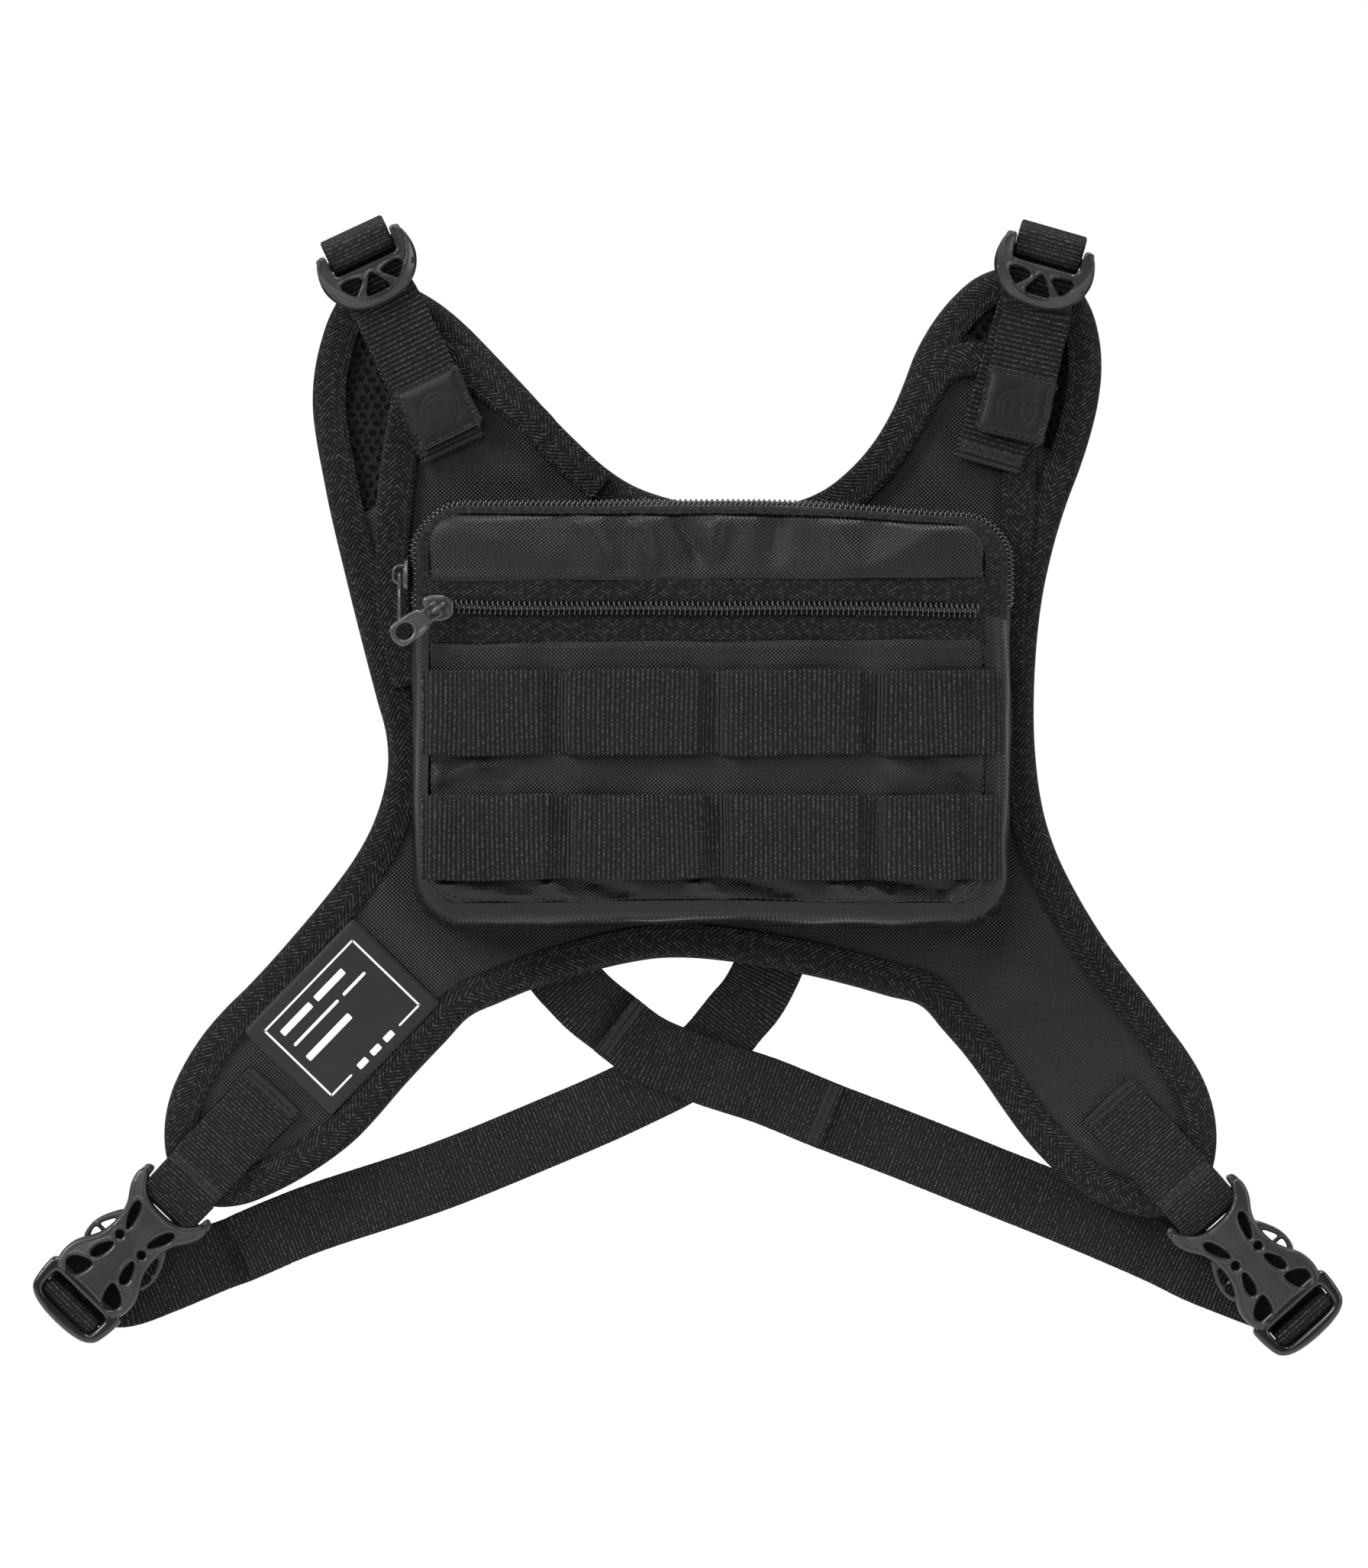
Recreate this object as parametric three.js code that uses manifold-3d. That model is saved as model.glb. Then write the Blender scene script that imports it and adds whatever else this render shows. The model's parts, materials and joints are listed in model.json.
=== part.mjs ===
// A chest harness vest: an X-shaped padded vest with a zipped pouch on its front, two cross-back
// straps, a ladder lock on each shoulder and a side release buckle at each lower corner.
//
// It is drawn laid flat, in millimetres: x to the vest's right-hand side as seen from the front,
// y up the chest, z out from the wearer, with z = 0 on the back of the pad. The last lines stand
// it upright, so that its front faces -Y and its shoulders point up +Z.
import * as THREE from "three";
import { mergeVertices } from "three/addons/utils/BufferGeometryUtils.js";
import Module from "manifold-3d";

const wasm = await Module();
wasm.setup();

// ---- Driving sizes ----
const GAP = 0.3; // clearance between two pieces that touch
const WEB_WIDTH = 25;
const WEB = 1.6; // thickness of the strap webbing
const PAD = 7; // foam pad with its spacer mesh
const PANEL = 1.2; // coated nylon panel
const TAPE = 0.8; // folded binding tape
const BINDING_LIP = 10; // how far the tape reaches in over the pad
const OUTLINE_STEP = 12;

const PANEL_Z = PAD + GAP;
const TRIM_Z = PANEL_Z + PANEL + GAP; // the back of whatever is sewn on the panel
const OVER_TRIM_Z = TRIM_Z + TAPE + GAP; // clear of the binding as well
const BACK_STRAP_Z = -TAPE - GAP * 2 - WEB / 2; // middle of a strap that lies behind the pad
const LOWER_STRAP_Z = BACK_STRAP_Z - WEB - GAP; // the same, under another strap

const POUCH_LEFT = -99;
const POUCH_RIGHT = 119;
const POUCH_TOP = 102.7;
const POUCH_BOTTOM = -52.8;
const POUCH_RADIUS = 19;
const POUCH_WALL = 1.6;
const GUSSET_DEPTH = 24;
const ZIP_BAND = 6.4;
const FRONT_DEPTH = 8.5;
const POCKET_ZIP_Y = 63.3;
const POCKET_ZIP_BAND = 22;

const STRAP_LIFT = 1.9; // one layer of webbing and its clearance
const LOCK_BAR_RADIUS = 2.2;
const LOCK_SMALL_BAR_RADIUS = 1.8;
const BUCKLE_BAR_RADIUS = 2.2;
const BUCKLE_Z = 4.5; // middle of the side release buckles' thickness

const COLOURS = {
  mesh: 0x1d1d1f,
  nylon: 0x26272a,
  tape: 0x1b1b1d,
  webbing: 0x202022,
  plastic: 0x2a2b2d,
  coil: 0x121213,
  metal: 0x3a3b3e,
  leather: 0x232325,
  label: 0x18181a,
};

const vest = new THREE.Group();

// ---- Geometry helpers ----
const Z = new THREE.Vector3(0, 0, 1);
const vec = (x, y, z = 0) => new THREE.Vector3(x, y, z);

// Points a step apart on a smooth curve through the given ones.
function curvePoints(points, step) {
  const curve = new THREE.CatmullRomCurve3(
    points.map((p) => vec(...p)),
    false,
    "centripetal",
  );
  return curve.getSpacedPoints(Math.max(2, Math.round(curve.getLength() / step)));
}

// A closed outline from smooth stretches that meet at corners.
function outlineOf(stretches, step) {
  return stretches.flatMap((stretch) => curvePoints(stretch, step).slice(0, -1));
}

// A counter-clockwise loop moved inwards and to another height.
function inset(loop, distance, z = 0) {
  return loop.map((p, i) => {
    const along = loop[(i + 1) % loop.length].clone().sub(loop.at(i - 1)).normalize();
    return vec(p.x - along.y * distance, p.y + along.x * distance, z);
  });
}

function roundedRectangle(left, right, bottom, top, radius, z = 0, steps = 5) {
  const corners = [
    [right - radius, bottom + radius, -0.5],
    [right - radius, top - radius, 0],
    [left + radius, top - radius, 0.5],
    [left + radius, bottom + radius, 1],
  ];
  return corners.flatMap(([x, y, start]) =>
    Array.from({ length: steps + 1 }, (_, i) => {
      const angle = Math.PI * (start + (0.5 * i) / steps);
      return vec(x + radius * Math.cos(angle), y + radius * Math.sin(angle), z);
    }),
  );
}

function geometryOf(points, triangles) {
  const geometry = new THREE.BufferGeometry();
  geometry.setAttribute(
    "position",
    new THREE.Float32BufferAttribute(
      points.flatMap((p) => [p.x, p.y, p.z]),
      3,
    ),
  );
  geometry.setIndex(triangles.flat());
  return geometry;
}

// The triangles that join each ring of points to the next one.
function wallTriangles(rings, closed) {
  const size = rings[0].length;
  const triangles = [];
  for (let i = 0; i < rings.length - (closed ? 0 : 1); i++) {
    const next = (i + 1) % rings.length;
    for (let j = 0; j < size; j++) {
      const k = (j + 1) % size;
      triangles.push([i * size + j, i * size + k, next * size + k]);
      triangles.push([i * size + j, next * size + k, next * size + j]);
    }
  }
  return triangles;
}

// A wall that runs round a loop: its profile's rings, outside up, then inside down.
const ringWall = (rings) => geometryOf(rings.flat(), wallTriangles(rings, true));

// A solid between level rings, lowest first, each counter-clockwise.
function solidBetween(rings) {
  const size = rings[0].length;
  const contour = rings.at(-1).map((p) => new THREE.Vector2(p.x, p.y));
  const lid = THREE.ShapeUtils.triangulateShape(contour, []).map(([a, b, c]) => {
    const ab = contour[b].clone().sub(contour[a]);
    const ac = contour[c].clone().sub(contour[a]);
    return ab.cross(ac) > 0 ? [a, b, c] : [a, c, b];
  });
  const top = (rings.length - 1) * size;
  return geometryOf(rings.flat(), [
    ...wallTriangles(rings, false),
    ...lid.map(([a, b, c]) => [top + a, top + b, top + c]),
    ...lid.map(([a, b, c]) => [a, c, b]),
  ]);
}

// A strap: a flat section carried along stations of { p, across }.
function strapGeometry(stations, width, thickness) {
  const rings = stations.map(({ p, across }, i) => {
    const before = stations[Math.max(i - 1, 0)].p;
    const after = stations[Math.min(i + 1, stations.length - 1)].p;
    const along = after.clone().sub(before).normalize();
    const out = along.clone().cross(across).normalize();
    return [
      [-1, -1],
      [1, -1],
      [1, 1],
      [-1, 1],
    ].map(([a, n]) =>
      p
        .clone()
        .addScaledVector(across, (a * width) / 2)
        .addScaledVector(out, (n * thickness) / 2),
    );
  });
  const last = (rings.length - 1) * 4;
  return geometryOf(rings.flat(), [
    ...wallTriangles(rings, false),
    [0, 2, 1],
    [0, 3, 2],
    [last, last + 1, last + 2],
    [last, last + 2, last + 3],
  ]);
}

// Stations of a strap that lies flat, whatever its route in plan.
function flatStations(points, step) {
  const route = curvePoints(points, step);
  return route.map((p, i) => {
    const along = route[Math.min(i + 1, route.length - 1)].clone().sub(route[Math.max(i - 1, 0)]);
    return { p, across: Z.clone().cross(along).normalize() };
  });
}

// A local frame in the plane: s runs along `down`, t square to it.
function planeFrame(x, y, degrees) {
  const angle = THREE.MathUtils.degToRad(degrees);
  const down = vec(Math.cos(angle), Math.sin(angle));
  return { at: vec(x, y), down, across: vec(-Math.sin(angle), Math.cos(angle)), angle };
}

const placeIn = (frame, s, t, z) =>
  frame.at.clone().addScaledVector(frame.down, s).addScaledVector(frame.across, t).setZ(z);

// Stations of a strap that turns round bars: its route is in (s, z) of the frame.
function turnStations(frame, route, side = 1) {
  const across = frame.across.clone().multiplyScalar(side);
  return route.map(([s, z, t = 0]) => ({ p: placeIn(frame, s, t, z), across }));
}

// An arc of a route round a bar, in (s, z), by its start and end angle in degrees.
function arcRoute(s, z, radius, from, to, steps = 5) {
  return Array.from({ length: steps + 1 }, (_, i) => {
    const angle = THREE.MathUtils.degToRad(from + ((to - from) * i) / steps);
    return [s + radius * Math.cos(angle), z + radius * Math.sin(angle)];
  });
}

const shapeOf = (points) => new THREE.Shape(points.map(([x, y]) => new THREE.Vector2(x, y)));

// A flat plate from an outline, with holes, between two heights.
function plate(points, z0, z1, holes = []) {
  const shape = shapeOf(points);
  holes.forEach((hole) => shape.holes.push(shapeOf(hole)));
  const solid = new THREE.ExtrudeGeometry(shape, { depth: z1 - z0, bevelEnabled: false });
  return solid.translate(0, 0, z0);
}

function box(x0, x1, y0, y1, z0, z1) {
  const solid = new THREE.BoxGeometry(x1 - x0, y1 - y0, z1 - z0);
  return solid.translate((x0 + x1) / 2, (y0 + y1) / 2, (z0 + z1) / 2);
}

// A round bar along y.
function barAlongY(x, z, radius, half, sides = 12) {
  return new THREE.CylinderGeometry(radius, radius, half * 2, sides).translate(x, 0, z);
}

function oval(x, y, rx, ry, turn = 0, sides = 10) {
  const angle = THREE.MathUtils.degToRad(turn);
  return Array.from({ length: sides }, (_, i) => {
    const t = (2 * Math.PI * i) / sides;
    const [u, v] = [rx * Math.cos(t), ry * Math.sin(t)];
    return [x + u * Math.cos(angle) - v * Math.sin(angle), y + u * Math.sin(angle) + v * Math.cos(angle)];
  });
}

// The outline of one half (x, y >= 0), closed with its mirror image across the x axis.
const mirrored = (half) => [...half, ...half.toReversed().filter(([, y]) => y > 0).map(([x, y]) => [x, -y])];

function solidFrom(geometry) {
  const bare = geometry.clone();
  bare.deleteAttribute("normal");
  bare.deleteAttribute("uv");
  const merged = mergeVertices(bare, 1e-4);
  return new wasm.Manifold(
    new wasm.Mesh({
      numProp: 3,
      vertProperties: new Float32Array(merged.attributes.position.array),
      triVerts: new Uint32Array(merged.index.array),
    }),
  );
}

function geometryFrom(solid) {
  const { vertProperties, triVerts } = solid.getMesh();
  const geometry = new THREE.BufferGeometry();
  geometry.setAttribute("position", new THREE.Float32BufferAttribute(vertProperties, 3));
  geometry.setIndex(new THREE.Uint32BufferAttribute(triVerts, 1));
  return geometry;
}

const joined = (...geometries) => geometryFrom(geometries.map(solidFrom).reduce((a, b) => a.add(b)));
const common = (a, b) => geometryFrom(solidFrom(a).intersect(solidFrom(b)));

// Puts a piece on the vest, or in one of its turned groups.
function add(name, geometry, finish, roughness = 0.8, parent = vest) {
  const metalness = finish === "metal" ? 0.8 : 0;
  const material = new THREE.MeshStandardMaterial({ color: COLOURS[finish], roughness, metalness });
  const mesh = new THREE.Mesh(geometry, material);
  mesh.name = name;
  parent.add(mesh);
}

// ---- The padded vest ----
const LEFT_CORNER = [-78, -84.5];
const RIGHT_CORNER = [86, -80.5];
const LEFT_TOP = [-110, 186.5];
const padOutline = outlineOf(
  [
    [
      LEFT_TOP, [-122, 181], [-130.6, 165], [-135, 141], [-130.6, 109], [-121.4, 69], [-113.3, 37],
      [-107.5, 13], [-109.2, -3], [-115, -19], [-125.3, -35], [-152.2, -67], [-174.7, -91],
      [-187.2, -115], [-188, -136], [-179, -151], [-164, -153.5], [-146, -147], [-121.4, -131],
      [-99.4, -107], LEFT_CORNER,
    ],
    [LEFT_CORNER, [-56.4, -75], [-29.4, -67], [-8, -63.2], [14, -64.2], [50, -70.6], RIGHT_CORNER],
    [
      RIGHT_CORNER, [102.5, -99], [125.8, -131], [145, -149], [161, -156], [178, -156.5], [190, -145],
      [193.6, -127], [188.6, -107], [172.5, -83], [149.2, -51], [133.1, -19], [127.5, 13],
      [129.2, 61], [136.1, 93], [147.2, 125], [151.7, 149], [149, 170], [141, 183], [126, 188.5],
      [108, 185], [94.4, 173], [84.4, 157], [76, 136], [63.1, 117], [44, 103.5], [10, 101],
      [-19.7, 109], [-39.7, 125], [-62.2, 149], [-86.7, 173], LEFT_TOP,
    ],
  ],
  OUTLINE_STEP,
);
const insideTape = (z) => inset(padOutline, TAPE + GAP, z);
add("vest_back_pad", solidBetween([insideTape(0), insideTape(PAD)]), "mesh");

const bindingProfile = [
  [0, -GAP - TAPE],
  [0, TRIM_Z + TAPE],
  [BINDING_LIP, TRIM_Z + TAPE],
  [BINDING_LIP, TRIM_Z],
  [TAPE, TRIM_Z],
  [TAPE, -GAP],
  [BINDING_LIP, -GAP],
  [BINDING_LIP, -GAP - TAPE],
];
const bindingRings = bindingProfile.map(([inwards, z]) => inset(padOutline, inwards, z));
add("pad_edge_binding", ringWall(bindingRings), "tape");

// The nylon panel stops short of the pad on the shoulders, where its own edge is bound.
const LEFT_PANEL_EDGE = [
  [-109, 24], [-112.5, 60], [-112, 100], [-106, 142], [-101, 156], [-90, 163], [-79, 157],
];
const RIGHT_PANEL_EDGE = [
  [89, 150], [95, 157], [106, 161], [119, 156], [128, 140], [128.5, 100], [125, 60], [126, 24],
];
const panelReach = [
  ...LEFT_PANEL_EDGE,
  [-40, 100], [40, 90],
  ...RIGHT_PANEL_EDGE,
  [240, 24], [240, -200], [-240, -200], [-240, 24],
];
add(
  "vest_front_panel",
  common(
    solidBetween([insideTape(PANEL_Z), insideTape(PANEL_Z + PANEL)]),
    plate(panelReach.toReversed(), 0, 20),
  ),
  "nylon",
  0.6,
);

const PANEL_BINDING_WIDTH = 13;
function panelBinding(name, route) {
  const z = OVER_TRIM_Z + TAPE / 2;
  const stations = flatStations(route.map(([x, y]) => [x, y, z]), 9);
  add(name, strapGeometry(stations, PANEL_BINDING_WIDTH, TAPE), "tape");
}
panelBinding("panel_binding_left", [
  [-99.5, 36], [-105.5, 64], [-105, 98], [-99.5, 138], [-95, 150], [-86.5, 154.5], [-77, 148], [-68, 137],
]);
panelBinding("panel_binding_right", [
  [82, 134], [90, 146], [98, 153], [107.5, 154], [116, 149.5], [121, 139], [121.5, 100], [118, 62],
  [117.5, 42],
]);

// A label is sewn on the lower left arm.
const LABEL = { x: -124.2, y: -84.6, degrees: 46, width: 44, length: 57, thickness: 0.6 };
const label = planeFrame(LABEL.x, LABEL.y, LABEL.degrees);
const labelGroup = new THREE.Group();
labelGroup.position.set(label.at.x, label.at.y, OVER_TRIM_Z);
labelGroup.rotation.z = label.angle;
vest.add(labelGroup);
add(
  "woven_label",
  box(-LABEL.length / 2, LABEL.length / 2, -LABEL.width / 2, LABEL.width / 2, 0, LABEL.thickness),
  "label",
  0.7,
  labelGroup,
);

// ---- The pouch ----
const POUCH_Z = OVER_TRIM_Z + TAPE + GAP;
const pouchBase = (inwards, z) =>
  roundedRectangle(
    POUCH_LEFT + inwards,
    POUCH_RIGHT - inwards,
    POUCH_BOTTOM + inwards,
    POUCH_TOP - inwards,
    POUCH_RADIUS - inwards,
    z,
  );
const SHOULDER_IN = 2.4; // how far the walls lean in by the main zip
const FRONT_IN = { left: 6.4, right: 9.5, bottom: 9, top: 4.8 };
const frontOutline = (z) =>
  roundedRectangle(
    POUCH_LEFT + FRONT_IN.left,
    POUCH_RIGHT - FRONT_IN.right,
    POUCH_BOTTOM + FRONT_IN.bottom,
    POUCH_TOP - FRONT_IN.top,
    POUCH_RADIUS - 5,
    z,
  );

const gussetZ0 = POUCH_Z + PANEL + GAP;
const gussetZ1 = gussetZ0 + GUSSET_DEPTH;
add("pouch_back_panel", solidBetween([pouchBase(0, POUCH_Z), pouchBase(0, POUCH_Z + PANEL)]), "nylon", 0.6);
add(
  "pouch_gusset",
  ringWall([
    pouchBase(0, gussetZ0),
    pouchBase(SHOULDER_IN, gussetZ1),
    pouchBase(SHOULDER_IN + POUCH_WALL, gussetZ1),
    pouchBase(POUCH_WALL, gussetZ0),
  ]),
  "nylon",
  0.6,
);

// The band above the gusset is zip tape round the top and plain cloth round the bottom.
const bandZ0 = gussetZ1 + GAP;
const bandZ1 = bandZ0 + ZIP_BAND;
const MAIN_ZIP_FOOT = 62;
const band = ringWall([
  pouchBase(SHOULDER_IN, bandZ0),
  pouchBase(SHOULDER_IN, bandZ1),
  pouchBase(SHOULDER_IN + POUCH_WALL, bandZ1),
  pouchBase(SHOULDER_IN + POUCH_WALL, bandZ0),
]);
const aboveFoot = box(-150, 150, MAIN_ZIP_FOOT, 150, 0, 80);
const belowFoot = box(-150, 150, -150, MAIN_ZIP_FOOT - GAP, 0, 80);
add("main_zipper_tape", common(band, aboveFoot), "tape", 0.85);
add("pouch_lower_band", common(band, belowFoot), "nylon", 0.6);

const COIL = 2.6;
const coilZ = bandZ0 + ZIP_BAND / 2;
const coilOut = GAP - SHOULDER_IN;
const coilRing = ringWall([
  pouchBase(-coilOut - COIL, coilZ - COIL / 2),
  pouchBase(-coilOut - COIL, coilZ + COIL / 2),
  pouchBase(-coilOut, coilZ + COIL / 2),
  pouchBase(-coilOut, coilZ - COIL / 2),
]);
const MAIN_SLIDER_Y = 75.6;
const MAIN_COIL_FOOT = 64;
add("main_zipper_coil", common(coilRing, box(-150, 150, MAIN_COIL_FOOT, 150, 0, 80)), "coil", 0.35);

// The front face: a panel over the pocket zip, the zip's tape, and a panel under it.
const frontZ0 = bandZ1 + GAP;
const frontZ1 = frontZ0 + FRONT_DEPTH;
const front = solidBetween([pouchBase(SHOULDER_IN, frontZ0), frontOutline(frontZ1)]);
const zipTop = POCKET_ZIP_Y + POCKET_ZIP_BAND / 2 - 0.7;
const zipFoot = zipTop - POCKET_ZIP_BAND;
add("pouch_top_panel", common(front, box(-150, 150, zipTop + GAP, 150, 0, 80)), "nylon", 0.55);
add("pouch_front_panel", common(front, box(-150, 150, -150, zipFoot - GAP, 0, 80)), "nylon", 0.55);
const ZIP_TAPE_SINK = 0.8;
add(
  "pocket_zipper_tape",
  common(front, box(-150, 150, zipFoot, zipTop, 0, frontZ1 - ZIP_TAPE_SINK)),
  "tape",
  0.85,
);
const pocketCoilZ = frontZ1 - ZIP_TAPE_SINK + GAP;
const POCKET_COIL = { width: 6, height: 1.9, left: -82, right: 106 };
const coilSection = mirrored([
  [POCKET_COIL.left, POCKET_COIL.width / 2],
  [POCKET_COIL.right, POCKET_COIL.width / 2],
]).map(([x, y]) => [x, y + POCKET_ZIP_Y]);
const pocketCoilTop = pocketCoilZ + POCKET_COIL.height;
add("pocket_zipper_coil", plate(coilSection.toReversed(), pocketCoilZ, pocketCoilTop), "coil", 0.35);

// The lining behind the pocket, inside the walls.
const LINING_IN = SHOULDER_IN + POUCH_WALL + GAP;
const liningZ = bandZ0 + 3;
const LINING = 0.8;
const lining = solidBetween([pouchBase(LINING_IN, liningZ), pouchBase(LINING_IN, liningZ + LINING)]);
add("pocket_lining", lining, "nylon");

// Two rows of webbing are tacked across the front and stand off it in shallow loops.
const MOLLE = { height: 30.5, left: -95, right: 116.5, thickness: 1.4, lift: 1, ramp: 4 };
const MOLLE_TACKS = [MOLLE.left + 3, -43, 13, 71, MOLLE.right - 4];
function molleRow(name, y) {
  const low = frontZ1 + GAP + MOLLE.thickness / 2;
  const high = low + MOLLE.lift;
  const route = MOLLE_TACKS.slice(1).flatMap((right, i) => [
    [MOLLE_TACKS[i] + 1, low],
    [MOLLE_TACKS[i] + 1 + MOLLE.ramp, high],
    [right - 1 - MOLLE.ramp, high],
    [right - 1, low],
  ]);
  const stations = [[MOLLE.left, low], ...route, [MOLLE.right, low]].map(([x, z]) => ({
    p: vec(x, y, z),
    across: vec(0, 1),
  }));
  add(name, strapGeometry(stations, MOLLE.height, MOLLE.thickness), "webbing");
}
molleRow("molle_strap_upper", 25.7);
molleRow("molle_strap_lower", -19.2);

// ---- Zip sliders, each with a body round the coil and a bail, and their pull tabs ----
const SLIDER = { length: 11, width: 9.4, roof: 1.4, bailGap: 2.6, bail: 1.4 };
const TAB = { thickness: 1.3, eye: 4.4, eyeHalf: 1.9, neckHalf: 3 };
function sliderBody(turn) {
  const nose = mirrored([
    [SLIDER.length / 2, 2.6], [1, SLIDER.width / 2], [-4, SLIDER.width / 2], [-SLIDER.length / 2, 3.4],
  ]);
  const roof = plate(nose.toReversed(), 0, SLIDER.roof);
  const bailZ = SLIDER.roof + SLIDER.bailGap;
  const bail = box(-3, 3, -0.9, 0.9, bailZ, bailZ + SLIDER.bail);
  const foot = (x) => box(x - 0.5, x + 0.5, -0.9, 0.9, SLIDER.roof - 0.5, bailZ + 0.5);
  return joined(roof, joined(bail, foot(2.5), foot(-2.5)).rotateZ(turn));
}

function pullTab(length, width) {
  const half = TAB.thickness / 2;
  const outline = mirrored([
    [-half, TAB.neckHalf], [TAB.eye + 0.6, TAB.neckHalf], [TAB.eye + 2, width / 2], [length - 2.5, width / 2],
    [length, width / 2 - 2.2],
  ]);
  const eye = mirrored([[half, TAB.eyeHalf], [TAB.eye, TAB.eyeHalf]]);
  const hole = oval(length - 5.6, 0, 3.4, width / 2 - 1.9);
  return plate(outline.toReversed(), -half, half, [eye, hole]);
}

// A slider stands on its coil in the group's own frame, with its pull tab hinged under the bail.
function slider(name, group, bodyTurn, tab) {
  vest.add(group);
  const body = new THREE.Group();
  body.rotation.z = bodyTurn;
  group.add(body);
  add(`${name}_slider`, sliderBody(tab.turn - bodyTurn), "metal", 0.35, body);
  const pull = new THREE.Group();
  pull.position.z = SLIDER.roof + SLIDER.bailGap / 2;
  pull.rotation.z = tab.turn;
  group.add(pull);
  add(`${name}_pull_tab`, pullTab(tab.length, tab.width), "metal", 0.35, pull);
}

const POCKET_SLIDER_X = -88.5;
const pocketSlider = new THREE.Group();
pocketSlider.position.set(POCKET_SLIDER_X, POCKET_ZIP_Y, pocketCoilTop + GAP);
slider("pocket", pocketSlider, 0, { turn: THREE.MathUtils.degToRad(215), length: 20, width: 9 });

// The main slider stands on the coil at the pouch's left side, so it faces -x.
const mainSlider = new THREE.Group();
mainSlider.position.set(POUCH_LEFT - GAP * 2 - COIL + SHOULDER_IN, MAIN_SLIDER_Y, coilZ);
mainSlider.rotation.set(0, -Math.PI / 2, 0);
slider("main", mainSlider, Math.PI / 2, { turn: -Math.PI / 2, length: 18, width: 8 });

// ---- Shoulder straps and ladder locks ----
// Each shoulder's frame starts at the fold over the lock; s runs down the strap.
const ANCHOR_Z = OVER_TRIM_Z + TAPE + GAP + WEB / 2;
const LOCK_BAR_S = 10;
const LOCK_SMALL_BAR_S = 18;
const LOCK_Z = ANCHOR_Z + WEB / 2 + GAP + LOCK_SMALL_BAR_RADIUS;
const LOCK_SPLIT_S = 25; // where the part of the strap that moves with the lock ends
const TAIL_Z = ANCHOR_Z + STRAP_LIFT + 0.1; // the strap's loose end lies on the anchor strap
const PATCH = { length: 24.5, width: 25.6, thickness: 1.1, z: TAIL_Z + WEB / 2 + GAP };

const SHOULDERS = {
  left: {
    lock: planeFrame(-121.2, 201.7, -65),
    tail: planeFrame(-121.2, 201.7, -64),
    anchor: planeFrame(-121.2, 201.7, -64),
    patchFoot: 85,
    anchorFoot: 88.8,
  },
  right: {
    lock: planeFrame(134.8, 201.9, -106),
    tail: planeFrame(134.8, 201.9, -102.6),
    anchor: planeFrame(134.8, 201.9, -107.8),
    patchFoot: 78.5,
    anchorFoot: 89.8,
  },
};

function ladderLock() {
  const thumb = mirrored([
    [LOCK_BAR_S + 2, 0],
    [LOCK_BAR_S + 4, 8], [LOCK_BAR_S + 3, 13.2], [LOCK_BAR_S - 4, 13.6], [LOCK_BAR_S - 4.5, 16],
    [LOCK_BAR_S - 1, 18], [LOCK_BAR_S + 8, 17.6], [LOCK_BAR_S + 14, 15], [LOCK_BAR_S + 18, 10],
    [LOCK_BAR_S + 20, 4], [LOCK_BAR_S + 20.3, 0],
  ]);
  const holes = [
    [[LOCK_BAR_S + 8, -11.4], [LOCK_BAR_S + 14.2, -7.6], [LOCK_BAR_S + 8, -4.2]],
    [[LOCK_BAR_S + 14.6, -3.6], [LOCK_BAR_S + 14.6, 3.6], [LOCK_BAR_S + 8.6, 0]],
    [[LOCK_BAR_S + 8, 4.2], [LOCK_BAR_S + 14.2, 7.6], [LOCK_BAR_S + 8, 11.4]],
  ];
  const roofZ = LOCK_Z + LOCK_SMALL_BAR_RADIUS + GAP * 2 + WEB;
  const roof = plate(thumb, roofZ, roofZ + 2.8, holes);
  const [cheekInside, cheekOutside] = [13.3, 16.4];
  const cheek = (side) => {
    const [from, to] = side > 0 ? [cheekInside, cheekOutside] : [-cheekOutside, -cheekInside];
    return box(LOCK_BAR_S - 3.4, LOCK_SMALL_BAR_S + 3, from, to, LOCK_Z - 2.6, roofZ + 1);
  };
  return joined(
    roof,
    cheek(1),
    cheek(-1),
    barAlongY(LOCK_BAR_S, LOCK_Z, LOCK_BAR_RADIUS, 14),
    barAlongY(LOCK_SMALL_BAR_S, LOCK_Z, LOCK_SMALL_BAR_RADIUS, 14),
  );
}

// From behind the pad, over the fold, round the lock's upper bar and back up inside the loop.
function lockLoopRoute() {
  const round = LOCK_BAR_RADIUS + GAP + WEB / 2;
  return [
    [17, BACK_STRAP_Z],
    [7, BACK_STRAP_Z + 1.4],
    [2.6, BACK_STRAP_Z + 4.5],
    [0.8, 7],
    [1.4, 12],
    [3.6, LOCK_Z + round - 0.8],
    ...arcRoute(LOCK_BAR_S, LOCK_Z, round, 90, -90, 7),
    [LOCK_BAR_S - 4.5, LOCK_Z - round + 1.4],
  ];
}

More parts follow.
